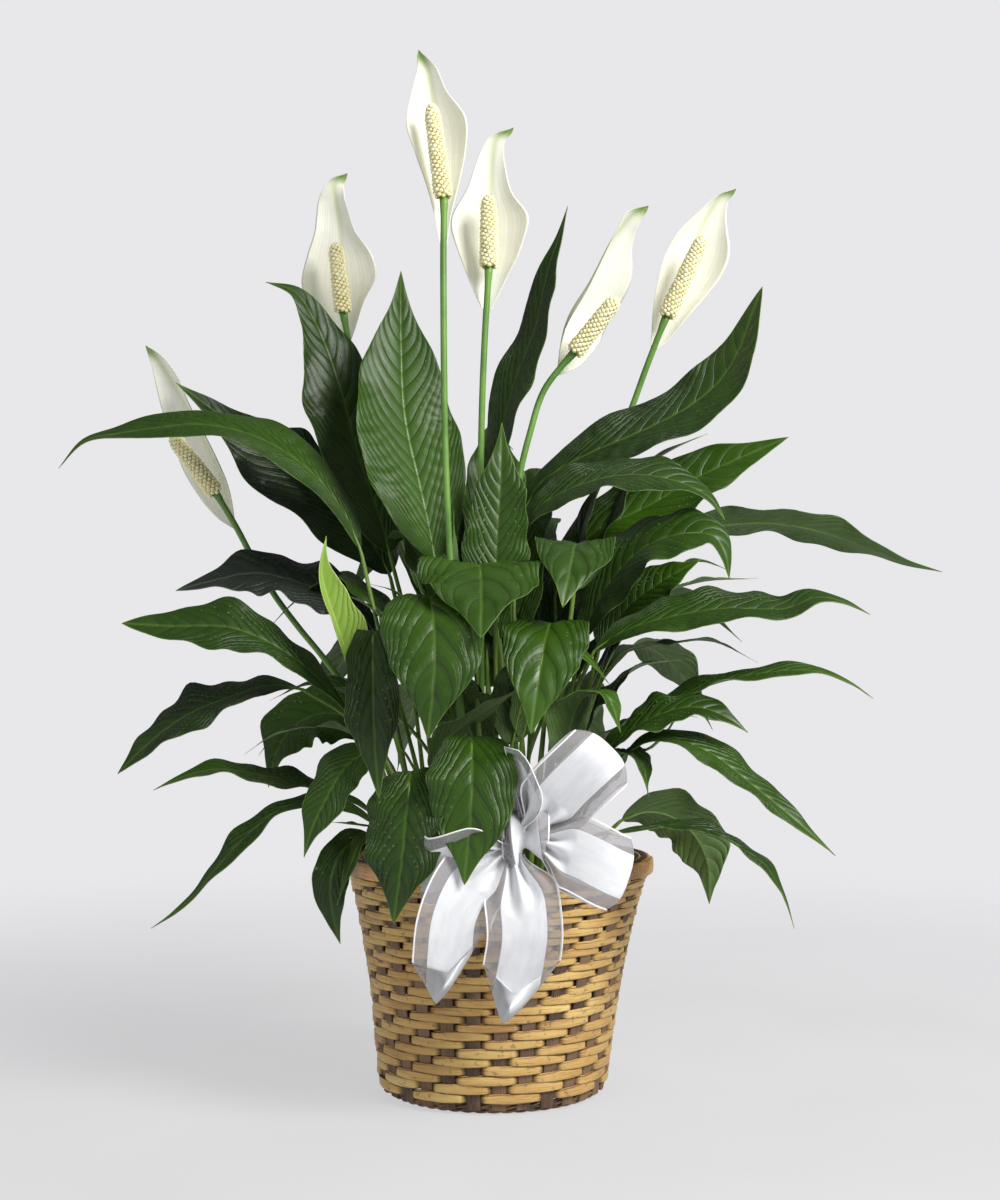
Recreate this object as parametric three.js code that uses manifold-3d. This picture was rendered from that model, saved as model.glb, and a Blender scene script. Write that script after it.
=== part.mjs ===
// Potted peace lily: a plant of broad pleated leaves and six white spathes, in a nursery pot
// inside a woven wicker basket, with a ribbon bow tied on the basket's front.
// Millimetres, +Z up, the front of the basket looks along -Y.
// Origin: the middle of the basket's flat underside.
import * as THREE from "three";
import { mergeVertices } from "three/addons/utils/BufferGeometryUtils.js";
import Module from "manifold-3d";

const wasm = await Module();
wasm.setup();

// ---- driving dimensions -------------------------------------------------------------------

const GAP = 0.4; // clearance between pieces that touch
const ROUND_SEGMENTS = 44;

const FOOT_RADIUS = 79;
const FOOT_INNER_RADIUS = 67;
const FOOT_HEIGHT = 9;
const WALL_BOTTOM_RADIUS = 84.5;
const WALL_LOW_RADIUS = 88;
const WALL_LOW_HEIGHT = 38;
const WALL_HIGH_RADIUS = 101;
const WALL_HIGH_HEIGHT = 115;
const WALL_TOP_RADIUS = 111;
const WALL_THICKNESS = 7;
const FLOOR_THICKNESS = 12;
const RIM_RADIUS = 114;
const RIM_WIDTH = 11;
const RIM_BOTTOM = 161;
const RIM_TOP = 173;

const POT_BOTTOM_RADIUS = 73;
const POT_TOP_RADIUS = 100.5;
const POT_TOP = 164;
const POT_WALL = 1.6;
const SOIL_TOP = 157;
const ROOT_LIFT = 2.2; // height of a stalk's cut end over the soil, so that a leaning one clears it

const PETIOLE_RADIUS = 2.2;
const PETIOLE_RINGS = 5;
const BLADE_RINGS = 10;
const LEAF_THICKNESS = 1.5;
const LEAF_FOLD = 0.14; // rise of a leaf's edges over its midrib, as a share of the half width
const TIP_SIZE = 0.6;

const STEM_RADIUS = 2.6;
const STEM_SIDES = 6;
const STEM_STEPS = 11;
const SPADIX_RADIUS = 6.4;
const SPADIX_SEGMENTS = 10;
const SPATHE_RINGS = 13;
const SPATHE_THICKNESS = 1.2;
const SPATHE_CUP = 0.32; // rise of a spathe's edges, as a share of the half width

const RIBBON_WIDTH = 48;
const RIBBON_GATHERED_WIDTH = 13;
const RIBBON_THICKNESS = 1.4;
const RIBBON_RINGS = 12;

// ---- materials ----------------------------------------------------------------------------

const finish = (color, roughness) => new THREE.MeshStandardMaterial({ color, roughness, metalness: 0 });

const materials = {
  wicker: finish(0xb58a50, 0.55),
  wickerDark: finish(0x6a5138, 0.6),
  plastic: finish(0x1c1d1c, 0.5),
  soil: finish(0x2e2118, 0.95),
  leaf: finish(0x2c5420, 0.38),
  youngLeaf: finish(0x86ab33, 0.4),
  darkLeaf: finish(0x22261f, 0.45),
  stem: finish(0x6f9a34, 0.42),
  spathe: finish(0xf0f1e8, 0.5),
  spadix: finish(0xe6dba0, 0.6),
  ribbon: finish(0xf3f5f4, 0.4),
};

// ---- shapes -------------------------------------------------------------------------------

const group = new THREE.Group();

function addPiece(name, geometry, material) {
  const mesh = new THREE.Mesh(geometry, material);
  mesh.name = name;
  group.add(mesh);
  return mesh;
}

const mix = (a, b, share) => a + (b - a) * share;
const vector = ([x, y, z]) => new THREE.Vector3(x, y, z);

// A closed body through rings that all hold the same number of points, with flat ends. A ring
// runs across the top first and back underneath, and the faces underneath are split along the
// same lines as those on top, so a thin twisted blade keeps its thickness.
function loft(rings) {
  const count = rings[0].length;
  const last = (rings.length - 1) * count;
  const index = [];
  for (let k = 0; k + 1 < rings.length; k++) {
    for (let i = 0; i < count; i++) {
      const a = k * count + i;
      const b = k * count + ((i + 1) % count);
      if (i < count / 2) index.push(a, b, b + count, a, b + count, a + count);
      else index.push(a, b, a + count, b, b + count, a + count);
    }
  }
  for (let i = 1; i + 1 < count; i++) {
    index.push(0, i + 1, i, last, last + i, last + i + 1);
  }
  const points = rings.flat();
  let volume = 0;
  for (let i = 0; i < index.length; i += 3) {
    const [a, b, c] = [points[index[i]], points[index[i + 1]], points[index[i + 2]]];
    volume += a.dot(b.clone().cross(c));
  }
  if (volume < 0) index.reverse();
  const geometry = new THREE.BufferGeometry().setFromPoints(points);
  geometry.setIndex(index);
  geometry.computeVertexNormals();
  return geometry;
}

// A body of revolution about +Z from [radius, height] corners.
function turned(profile) {
  const corners = profile.map(([radius, height]) => new THREE.Vector2(radius, height));
  const geometry = new THREE.LatheGeometry(corners, ROUND_SEGMENTS);
  geometry.rotateX(Math.PI / 2);
  return geometry;
}

// The local axes of a strip at one place on its path: along it, across it, and out of its face.
// "side" is the direction that "across" keeps as close to as it can; roll turns it, in degrees.
function axesAt(curve, share, side, roll) {
  const along = curve.getTangentAt(share);
  const up = along.clone().cross(side).normalize();
  const across = up.clone().cross(along);
  const turn = THREE.MathUtils.degToRad(roll);
  return {
    centre: curve.getPointAt(share),
    across: across.clone().multiplyScalar(Math.cos(turn)).addScaledVector(up, -Math.sin(turn)),
    up: up.clone().multiplyScalar(Math.cos(turn)).addScaledVector(across, Math.sin(turn)),
  };
}

// Section corners given as [across, up] pairs, set at a place on the path.
function ringAt({ centre, across, up }, corners) {
  return corners.map(([x, y]) => centre.clone().addScaledVector(across, x).addScaledVector(up, y));
}

// ---- basket, pot and soil -----------------------------------------------------------------

function basketWall() {
  const bottom = FOOT_HEIGHT + GAP;
  const top = RIM_BOTTOM - GAP;
  return turned([
    [0, 0],
    [FOOT_INNER_RADIUS - GAP, 0],
    [FOOT_INNER_RADIUS - GAP, bottom],
    [WALL_BOTTOM_RADIUS, bottom],
    [WALL_LOW_RADIUS, WALL_LOW_HEIGHT],
    [WALL_HIGH_RADIUS, WALL_HIGH_HEIGHT],
    [WALL_TOP_RADIUS, top],
    [WALL_TOP_RADIUS - WALL_THICKNESS, top],
    [WALL_HIGH_RADIUS - WALL_THICKNESS, WALL_HIGH_HEIGHT],
    [WALL_LOW_RADIUS - WALL_THICKNESS, WALL_LOW_HEIGHT],
    [WALL_BOTTOM_RADIUS - WALL_THICKNESS, FLOOR_THICKNESS],
    [0, FLOOR_THICKNESS],
  ]);
}

function rimBand() {
  const inner = RIM_RADIUS - RIM_WIDTH;
  const round = 2;
  return turned([
    [inner, RIM_BOTTOM],
    [RIM_RADIUS - round / 2, RIM_BOTTOM],
    [RIM_RADIUS, RIM_BOTTOM + round],
    [RIM_RADIUS, RIM_TOP - round],
    [RIM_RADIUS - round, RIM_TOP],
    [inner + round, RIM_TOP],
    [inner, RIM_TOP - round],
    [inner, RIM_BOTTOM],
  ]);
}

function footBraid() {
  const round = 3;
  return turned([
    [FOOT_INNER_RADIUS, 0],
    [FOOT_RADIUS - round, 0],
    [FOOT_RADIUS, round],
    [FOOT_RADIUS, FOOT_HEIGHT - round],
    [FOOT_RADIUS - round, FOOT_HEIGHT],
    [FOOT_INNER_RADIUS, FOOT_HEIGHT],
    [FOOT_INNER_RADIUS, 0],
  ]);
}

function growPot() {
  const bottom = FLOOR_THICKNESS + GAP;
  return turned([
    [0, bottom],
    [POT_BOTTOM_RADIUS, bottom],
    [POT_TOP_RADIUS, POT_TOP],
    [POT_TOP_RADIUS - POT_WALL, POT_TOP],
    [POT_BOTTOM_RADIUS - POT_WALL, bottom + POT_WALL],
    [0, bottom + POT_WALL],
  ]);
}

function pottingSoil() {
  const potBottom = FLOOR_THICKNESS + GAP;
  const bottom = potBottom + POT_WALL + GAP;
  const slope = (POT_TOP_RADIUS - POT_BOTTOM_RADIUS) / (POT_TOP - potBottom);
  const radiusAt = (z) => POT_BOTTOM_RADIUS + slope * (z - potBottom) - POT_WALL - GAP - 0.2;
  return turned([
    [0, bottom],
    [radiusAt(bottom), bottom],
    [radiusAt(SOIL_TOP), SOIL_TOP],
    [0, SOIL_TOP],
  ]);
}

addPiece("basket_wall", basketWall(), materials.wicker);
addPiece("basket_rim_band", rimBand(), materials.wickerDark);
addPiece("basket_foot_braid", footBraid(), materials.wickerDark);
addPiece("grow_pot", growPot(), materials.plastic);
addPiece("potting_soil", pottingSoil(), materials.soil);

// ---- leaves -------------------------------------------------------------------------------

// The outline of a leaf or spathe: 0 at both ends of the blade and 1 where it is broadest.
function outline(share, base, tip) {
  const broadest = base / (base + tip);
  const peak = broadest ** base * (1 - broadest) ** tip;
  return (share ** base * (1 - share) ** tip) / peak;
}

// One leaf with its petiole: round where it leaves the soil, then a thin blade folded along its
// midrib. "root" is where it leaves the soil, "points" are the rest of its midrib, "start" is the
// share of its length where the blade begins, and "twist" turns the blade at its start and tip.
function leaf(name, root, points, { start, width, twist = [0, 0], base = 0.55 }, material) {
  const ground = new THREE.Vector3(root[0], root[1], SOIL_TOP + ROOT_LIFT);
  const curve = new THREE.CatmullRomCurve3([ground, ...points.map(vector)], false, "centripetal");
  const reach = vector(points.at(-1)).sub(ground).setZ(0).normalize();
  const side = new THREE.Vector3(0, 0, 1).cross(reach);
  const rings = [];
  for (let k = 0; k < PETIOLE_RINGS + BLADE_RINGS; k++) {
    const blade = Math.max(0, (k - PETIOLE_RINGS + 1) / BLADE_RINGS);
    const share = k < PETIOLE_RINGS ? (start * k) / (PETIOLE_RINGS - 1) : mix(start, 1, blade);
    const flat = Math.min(1, blade * 6);
    const half = Math.max(TIP_SIZE, (width / 2) * outline(blade, base, 0.9));
    const middle = Math.min(1.2, half * 0.4);
    const thick = mix(LEAF_THICKNESS, TIP_SIZE, blade) / 2;
    const bladeCorners = [
      [half, half * LEAF_FOLD],
      [middle, thick],
      [-middle, thick],
      [-half, half * LEAF_FOLD],
      [-middle, -thick],
      [middle, -thick],
    ];
    const corners = bladeCorners.map(([x, y], i) => {
      const angle = (i * Math.PI) / 3;
      return [
        mix(PETIOLE_RADIUS * Math.cos(angle), x, flat),
        mix(PETIOLE_RADIUS * Math.sin(angle), y, flat),
      ];
    });
    rings.push(ringAt(axesAt(curve, share, side, mix(twist[0], twist[1], blade)), corners));
  }
  addPiece(name, loft(rings), material);
}

const green = materials.leaf;

// Upright leaves behind and above the crown.
leaf("leaf_tall_front", [-28, -25], [
  [-38, -15, 290], [-47, 0, 390], [-57, 10, 441], [-71, 20, 503], [-75, 35, 566], [-76, 48, 622],
], { start: 0.5, width: 90, twist: [8, 12] }, green);
leaf("leaf_centre", [2, -24], [
  [-1, -25, 251], [-2, -25, 345], [-1, -23, 399], [2, -18, 449], [3, -10, 495],
], { start: 0.56, width: 44, base: 0.4 }, green);
leaf("leaf_upper_left", [-42, 25], [
  [-60, 40, 300], [-90, 50, 420], [-110, 55, 480], [-125, 58, 534], [-144, 60, 584],
  [-163, 58, 610], [-183, 56, 615],
], { start: 0.5, width: 64, twist: [50, 50] }, green);
leaf("leaf_upper_right_narrow", [12, 30], [
  [4, 32, 300], [-5, 30, 433], [0, 28, 483], [12, 28, 529], [29, 30, 576], [38, 32, 617],
  [50, 35, 654], [54, 36, 670],
], { start: 0.54, width: 44, twist: [-22, -34] }, green);
leaf("leaf_upper_right_long", [8, 45], [
  [4, 44, 299], [12, 38, 405], [31, 34, 452], [65, 30, 474], [108, 30, 493], [150, 32, 515],
  [179, 34, 543], [194, 36, 578], [205, 36, 607],
], { start: 0.5, width: 52, twist: [-45, -50] }, green);

// Leaves that arch out to the left.
leaf("leaf_left_long", [-40, -8], [
  [-72, -4, 280], [-92, 0, 350], [-106, 2, 408], [-130, 4, 448], [-171, 6, 481], [-221, 8, 496],
  [-274, 8, 491], [-315, 6, 482], [-332, 4, 462],
], { start: 0.47, width: 46, twist: [30, 40] }, green);
leaf("leaf_left_hanging", [-50, 38], [
  [-67, 50, 299], [-84, 58, 382], [-106, 62, 417], [-144, 64, 451], [-190, 64, 486],
  [-225, 62, 515], [-254, 60, 536],
], { start: 0.5, width: 76, twist: [55, 50] }, green);
leaf("leaf_left_dark", [-56, 20], [
  [-82, 30, 287], [-99, 36, 345], [-122, 40, 364], [-155, 42, 378], [-188, 42, 385],
  [-221, 40, 379], [-249, 38, 371],
], { start: 0.52, width: 44, twist: [35, 45] }, materials.darkLeaf);
leaf("leaf_young", [-54, -24], [
  [-84, -36, 237], [-102, -46, 301], [-116, -52, 344], [-127, -52, 382], [-124, -50, 407],
], { start: 0.52, width: 26, twist: [60, 75] }, materials.youngLeaf);
leaf("leaf_left_middle_long", [-50, -12], [
  [-83, -22, 227], [-103, -30, 269], [-126, -36, 299], [-157, -42, 325], [-193, -46, 341],
  [-235, -48, 342], [-272, -48, 344],
], { start: 0.4, width: 40, twist: [32, 56] }, green);
leaf("leaf_left_lower_long", [-62, 2], [
  [-90, -6, 242], [-124, -12, 286], [-164, -16, 299], [-202, -20, 289], [-234, -24, 274],
  [-260, -26, 253], [-279, -26, 234],
], { start: 0.52, width: 34, twist: [30, 35] }, green);
leaf("leaf_left_broad", [-64, 20], [
  [-87, 22, 241], [-108, 24, 270], [-134, 24, 277], [-158, 22, 265], [-170, 20, 243],
  [-174, 18, 221],
], { start: 0.46, width: 50, twist: [45, 50] }, green);
leaf("leaf_left_low_long", [-66, -16], [
  [-80, -26, 194], [-102, -34, 214], [-136, -40, 226], [-169, -45, 234], [-198, -48, 239],
  [-223, -50, 235], [-248, -50, 224],
], { start: 0.24, width: 28, twist: [12, 20] }, green);
leaf("leaf_left_low_narrow", [-60, -36], [
  [-77, -52, 191], [-100, -60, 209], [-128, -66, 218], [-156, -70, 211], [-181, -73, 190],
  [-200, -75, 169], [-221, -76, 145], [-244, -76, 129],
], { start: 0.2, width: 26, twist: [15, 25] }, green);
leaf("leaf_left_drooping", [-48, -60], [
  [-66, -78, 218], [-84, -90, 253], [-103, -100, 246], [-118, -106, 222], [-128, -108, 200],
  [-133, -108, 182],
], { start: 0.48, width: 30, twist: [40, 40] }, green);
leaf("leaf_left_over_rim", [-68, -42], [
  [-80, -66, 187], [-97, -84, 193], [-110, -95, 182], [-116, -99, 162], [-114, -98, 141],
  [-109, -95, 121],
], { start: 0.34, width: 24, twist: [40, 45] }, green);

// Leaves that arch out to the right.
leaf("leaf_right_striped_upper", [62, 22], [
  [55, 34, 259], [45, 46, 372], [73, 50, 416], [114, 50, 436], [155, 48, 460], [191, 46, 476],
  [226, 44, 491],
], { start: 0.48, width: 46, twist: [-45, -50] }, green);
leaf("leaf_right_arched_upper", [26, 2], [
  [16, 0, 290], [12, -6, 395], [28, -12, 429], [59, -15, 447], [94, -18, 455], [128, -22, 451],
  [155, -26, 438], [167, -30, 420],
], { start: 0.55, width: 48, twist: [-35, -30] }, green);
leaf("leaf_far_right", [56, 34], [
  [68, 42, 279], [93, 50, 370], [130, 52, 413], [166, 50, 422], [207, 46, 425], [248, 42, 418],
  [282, 36, 406], [312, 30, 393], [340, 26, 385],
], { start: 0.5, width: 36, twist: [35, 40] }, green);
leaf("leaf_right_broad", [40, -8], [
  [49, -15, 251], [61, -20, 330], [80, -26, 371], [107, -32, 400], [136, -38, 410],
  [158, -42, 407], [166, -44, 391], [168, -44, 376],
], { start: 0.5, width: 58, twist: [-45, -30] }, green);
leaf("leaf_right_striped_middle", [52, 12], [
  [61, 16, 239], [75, 20, 322], [99, 20, 358], [127, 18, 379], [154, 14, 394],
], { start: 0.62, width: 36, twist: [-50, -50] }, green);
leaf("leaf_right_middle_long", [45, -22], [
  [49, -34, 237], [62, -46, 314], [88, -52, 337], [126, -58, 349], [168, -62, 355],
  [204, -64, 354], [233, -64, 363], [266, -64, 350],
], { start: 0.45, width: 48, twist: [-30, -25] }, green);
leaf("leaf_right_lower_long", [50, -12], [
  [61, -30, 220], [80, -42, 256], [110, -50, 280], [147, -58, 299], [187, -62, 308],
  [224, -64, 310], [248, -64, 303], [268, -64, 290],
], { start: 0.35, width: 34, twist: [-12, -20] }, green);
leaf("leaf_right_lower_short", [46, -36], [
  [58, -56, 212], [76, -72, 252], [104, -82, 275], [136, -88, 285], [159, -92, 278],
  [174, -94, 267],
], { start: 0.42, width: 38, twist: [-25, -30] }, green);
leaf("leaf_right_drooping", [38, -54], [
  [55, -66, 204], [78, -76, 240], [110, -84, 264], [146, -90, 254], [178, -94, 230],
  [208, -96, 205], [234, -96, 182],
], { start: 0.38, width: 36, twist: [-20, -30] }, green);
leaf("leaf_right_low_arch", [44, -62], [
  [64, -80, 192], [90, -92, 199], [120, -100, 204], [147, -106, 200], [167, -108, 189],
  [185, -108, 175], [197, -106, 154], [204, -104, 133],
], { start: 0.28, width: 26, twist: [-5, -10] }, green);
leaf("leaf_right_low_broad", [64, -6], [
  [78, 4, 182], [98, 12, 200], [121, 16, 203], [145, 18, 190], [158, 16, 166], [159, 12, 134],
], { start: 0.3, width: 46, twist: [50, 55] }, green);

// Leaves that lean out to the front.
leaf("leaf_front_crown", [-6, -42], [
  [-13, -44, 252], [-16, -50, 349], [-14, -68, 384], [-12, -100, 377], [-11, -134, 357],
  [-11, -156, 332],
], { start: 0.58, width: 80, base: 0.4 }, green);
leaf("leaf_front_upper_right", [28, -26], [
  [41, -30, 251], [53, -38, 349], [58, -54, 398], [54, -84, 397], [49, -112, 376],
  [44, -128, 353],
], { start: 0.62, width: 52, base: 0.4 }, green);
leaf("leaf_front_right", [22, -52], [
  [28, -64, 225], [36, -76, 306], [38, -92, 343], [33, -120, 334], [28, -140, 307],
  [22, -150, 268],
], { start: 0.55, width: 54, base: 0.35 }, green);
leaf("leaf_front_left", [-28, -46], [
  [-38, -58, 243], [-48, -78, 324], [-49, -98, 362], [-44, -128, 349], [-42, -148, 312],
  [-46, -156, 265],
], { start: 0.58, width: 66, base: 0.34 }, green);
leaf("leaf_front_left_narrow", [-48, -38], [
  [-67, -56, 238], [-83, -72, 306], [-87, -88, 338], [-86, -110, 303], [-84, -122, 267],
  [-80, -130, 224],
], { start: 0.56, width: 38 }, green);
leaf("leaf_front_rim", [-8, -66], [
  [-13, -80, 202], [-17, -98, 250], [-18, -118, 265], [-17, -142, 245], [-18, -152, 213],
  [-22, -154, 169],
], { start: 0.48, width: 56, base: 0.4 }, green);
leaf("leaf_front_rim_left", [-36, -60], [
  [-47, -80, 198], [-57, -98, 232], [-59, -113, 243], [-61, -133, 219], [-64, -144, 182],
  [-69, -149, 143],
], { start: 0.45, width: 54, base: 0.4 }, green);

// Leaves that arch out to the back.
leaf("leaf_back_right", [20, 62], [
  [30, 100, 310], [48, 150, 385], [62, 200, 405], [78, 246, 388],
], { start: 0.45, width: 60 }, green);
leaf("leaf_back_left", [-22, 66], [
  [-40, 112, 290], [-66, 172, 350], [-88, 222, 352], [-108, 252, 318],
], { start: 0.42, width: 56 }, green);

// ---- flowers ------------------------------------------------------------------------------

function stemBody(points) {
  const curve = new THREE.CatmullRomCurve3(points, false, "centripetal");
  const section = new THREE.Shape();
  for (let i = 0; i < STEM_SIDES; i++) {
    const angle = (2 * Math.PI * i) / STEM_SIDES;
    section[i ? "lineTo" : "moveTo"](STEM_RADIUS * Math.cos(angle), STEM_RADIUS * Math.sin(angle));
  }
  section.closePath();
  return new THREE.ExtrudeGeometry(section, { steps: STEM_STEPS, extrudePath: curve });
}

// The spadix is a slim cone with a round end, standing on +Y from its base.
function spadixBody(length) {
  const shaft = length - SPADIX_RADIUS;
  const corners = [new THREE.Vector2(0, 0), new THREE.Vector2(SPADIX_RADIUS * 0.75, 0)];
  corners.push(new THREE.Vector2(SPADIX_RADIUS, SPADIX_RADIUS * 0.6));
  for (let i = 0; i <= 3; i++) {
    const angle = (i * Math.PI) / 6;
    const radius = SPADIX_RADIUS * 0.9 * Math.cos(angle);
    corners.push(new THREE.Vector2(i < 3 ? radius : 0, shaft + SPADIX_RADIUS * Math.sin(angle)));
  }
  return new THREE.LatheGeometry(corners, SPADIX_SEGMENTS);
}

// The spathe's blade: cupped towards the spadix, broadest a third of the way up.
function spatheBody(points, width, towards) {
  const curve = new THREE.CatmullRomCurve3(points, false, "centripetal");
  const rings = [];
  for (let k = 0; k < SPATHE_RINGS; k++) {
    const share = k / (SPATHE_RINGS - 1);
    const along = curve.getTangentAt(share);
    const side = towards.clone().cross(along).normalize();
    const half = Math.max(TIP_SIZE, (width / 2) * outline(share, 0.75, 1.05));
    const thick = Math.min(SPATHE_THICKNESS, half) / 2;
    const rise = (x) => half * SPATHE_CUP * (x / half) ** 2;
    const corners = [
      [half, rise(half)],
      [half / 2, rise(half / 2) + thick],
      [0, thick],
      [-half / 2, rise(half / 2) + thick],
      [-half, rise(half)],
      [-half / 2, rise(half / 2) - thick],
      [0, -thick],
      [half / 2, rise(half / 2) - thick],
    ];
    const { centre, across } = axesAt(curve, share, side, 0);
    const up = across.clone().cross(along);
    if (up.dot(towards) < 0) up.negate();
    rings.push(ringAt({ centre, across, up }, corners));
  }
  return loft(rings);
}

// One inflorescence: its stem up to the spadix, the spadix, and the spathe behind it.
function flower(place, root, stemPoints, spadixBase, spadixTip, width, spathePoints) {
  const base = vector(spadixBase);
  const axis = vector(spadixTip).sub(base);
  const length = axis.length();
  axis.normalize();
  const ground = new THREE.Vector3(root[0], root[1], SOIL_TOP + ROOT_LIFT);
  const top = base.clone().addScaledVector(axis, -1);
  addPiece(`flower_stem_${place}`, stemBody([ground, ...stemPoints.map(vector), top]), materials.stem);
  const spadix = addPiece(`spadix_${place}`, spadixBody(length), materials.spadix);
  spadix.position.copy(base);
  spadix.quaternion.setFromUnitVectors(new THREE.Vector3(0, 1, 0), axis);
  const path = spathePoints.map(vector);
  const towards = base.clone().addScaledVector(axis, length / 2).sub(path[2]);
  addPiece(`spathe_${place}`, spatheBody(path, width, towards), materials.spathe);
}

flower("far_left", [-48, 48],
  [[-115, 62, 289], [-173, 66, 364], [-197, 66, 404], [-210, 64, 429]],
  [-222, 58, 449], [-254, 46, 492], 36,
  [[-208, 70, 421], [-220, 76, 463], [-237, 76, 498], [-256, 72, 533], [-276, 62, 567]]);
flower("left", [-26, 60],
  [[-58, 76, 352], [-96, 82, 480], [-118, 76, 563]],
  [-123, 70, 594], [-129, 66, 647], 58,
  [[-120, 82, 570], [-125, 90, 619], [-128, 88, 672], [-132, 82, 700], [-125, 78, 710]]);
flower("tallest", [-18, -46],
  [[-37, -42, 436], [-40, -38, 592]],
  [-40, -36, 658], [-49, -36, 726], 48,
  [[-40, -30, 615], [-42, -18, 667], [-46, -16, 717], [-52, -22, 758], [-55, -28, 771]]);
flower("centre", [-12, 10],
  [[-13, 4, 460], [-11, 2, 540]],
  [-7, 2, 615], [-7, 0, 668], 57,
  [[-8, 10, 578], [-6, 18, 626], [-6, 18, 677], [-3, 12, 712], [5, 6, 726]]);
flower("right", [14, 16],
  [[14, 16, 441], [28, 18, 502], [45, 20, 543]],
  [58, 14, 552], [90, 4, 591], 42,
  [[45, 28, 536], [53, 36, 579], [72, 38, 612], [90, 34, 644], [112, 26, 671]]);
flower("far_right", [34, 52],
  [[62, 76, 404], [107, 72, 520], [120, 66, 556]],
  [133, 62, 589], [162, 58, 651], 50,
  [[122, 75, 562], [138, 82, 609], [157, 82, 652], [174, 76, 684], [186, 70, 696]]);

// ---- ribbon bow ---------------------------------------------------------------------------

// One length of ribbon, gathered where it meets the knot. A loop is gathered at both its ends.
function ribbonBody(points, across, isLoop) {
  const curve = new THREE.CatmullRomCurve3(points.map(vector), false, "centripetal");
  const side = vector(across).normalize();
  const rings = [];
  for (let k = 0; k < RIBBON_RINGS; k++) {
    const share = k / (RIBBON_RINGS - 1);
    const spread = Math.min(1, 3 * share, isLoop ? 3 * (1 - share) : 1);
    const half = mix(RIBBON_GATHERED_WIDTH, RIBBON_WIDTH, spread) / 2;
    const thick = RIBBON_THICKNESS / 2;
    const corners = [[half, thick], [-half, thick], [-half, -thick], [half, -thick]];
    rings.push(ringAt(axesAt(curve, share, side, 0), corners));
  }
  return loft(rings);
}

function solidOf(geometry) {
  const bare = geometry.clone();
  bare.deleteAttribute("normal");
  bare.deleteAttribute("uv");
  const merged = mergeVertices(bare, 0.001);
  return new wasm.Manifold(new wasm.Mesh({
    numProp: 3,
    vertProperties: merged.getAttribute("position").array,
    triVerts: new Uint32Array(merged.index.array),
  }));
}

function geometryOf(solid) {
  const { vertProperties, triVerts } = solid.getMesh();
  const geometry = new THREE.BufferGeometry();
  geometry.setAttribute("position", new THREE.BufferAttribute(vertProperties, 3));
  geometry.setIndex(new THREE.BufferAttribute(triVerts, 1));
  geometry.computeVertexNormals();
  return geometry;
}

const KNOT_CENTRE = [20, -134, 199];

function ribbonBow() {
  const knot = new THREE.SphereGeometry(1, 12, 8);
  knot.scale(18, 9, 15);
  knot.translate(...KNOT_CENTRE);
  const lengths = [
    ribbonBody([[24, -134, 206], [45, -150, 231], [70, -154, 256], [71, -144, 258], [45, -136, 234],
      [24, -133, 206]], [29, 4, -33], true),
    ribbonBody([[30, -135, 196], [55, -152, 188], [82, -154, 176], [83, -144, 176], [56, -136, 186],
      [30, -133, 196]], [23, 4, 53], true),
    ribbonBody([[8, -134, 190], [-16, -140, 184], [-36, -136, 176], [-37, -127, 176], [-16, -126, 182],
      [8, -131, 190]], [2, -6, 14], true),
    ribbonBody([[19, -132, 208], [25, -134, 232], [22, -134, 252], [17, -130, 252], [19, -128, 230],
      [18, -130, 208]], [3, -10, 1], true),
    ribbonBody([[8, -137, 190], [-14, -146, 168], [-33, -142, 134], [-30, -134, 92]], [9, 2, -3], false),
    ribbonBody([[16, -138, 188], [20, -144, 152], [19, -140, 112], [9, -128, 76]], [10, 0, 1], false),
  ];
  return geometryOf(lengths.map(solidOf).reduce((whole, one) => whole.add(one), solidOf(knot)));
}

addPiece("ribbon_bow", ribbonBow(), materials.ribbon);

export default group;
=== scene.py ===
"""A potted peace lily in a woven reed basket with a white ribbon bow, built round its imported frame."""
import math

import bmesh
import bpy
import numpy as np
from bpy.props import FloatProperty, FloatVectorProperty, IntProperty, PointerProperty
from mathutils import Matrix, Vector


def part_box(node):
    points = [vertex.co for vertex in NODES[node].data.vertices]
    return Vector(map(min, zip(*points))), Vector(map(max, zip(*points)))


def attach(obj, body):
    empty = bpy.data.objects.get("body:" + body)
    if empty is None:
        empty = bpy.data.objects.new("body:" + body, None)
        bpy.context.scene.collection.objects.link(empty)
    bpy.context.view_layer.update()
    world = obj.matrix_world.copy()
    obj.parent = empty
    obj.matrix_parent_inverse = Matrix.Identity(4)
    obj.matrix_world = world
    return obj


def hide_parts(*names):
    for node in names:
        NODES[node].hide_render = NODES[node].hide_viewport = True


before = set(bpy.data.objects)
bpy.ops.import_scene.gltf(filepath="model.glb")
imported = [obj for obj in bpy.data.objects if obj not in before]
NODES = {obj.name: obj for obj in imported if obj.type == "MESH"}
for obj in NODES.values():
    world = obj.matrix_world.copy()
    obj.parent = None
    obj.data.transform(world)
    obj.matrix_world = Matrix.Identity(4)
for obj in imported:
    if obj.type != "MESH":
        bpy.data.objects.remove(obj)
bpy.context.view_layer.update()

bl_info = {
    "name": "Potted peace lily",
    "version": (1, 0, 0),
    "blender": (4, 5, 0),
    "location": "3D View > Sidebar > Peace lily",
    "description": "Builds a peace lily in a reed basket with a ribbon bow",
    "category": "Object",
}

BODY = "root"
MM = 0.001

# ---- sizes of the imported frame, in metres ---------------------------------------------------

WALL_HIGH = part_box("basket_wall")[1]
RIM_LOW, RIM_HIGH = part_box("basket_rim_band")
FOOT_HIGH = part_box("basket_foot_braid")[1]
SOIL_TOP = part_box("potting_soil")[1][2]
ROOT_REACH = 92 * MM

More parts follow.
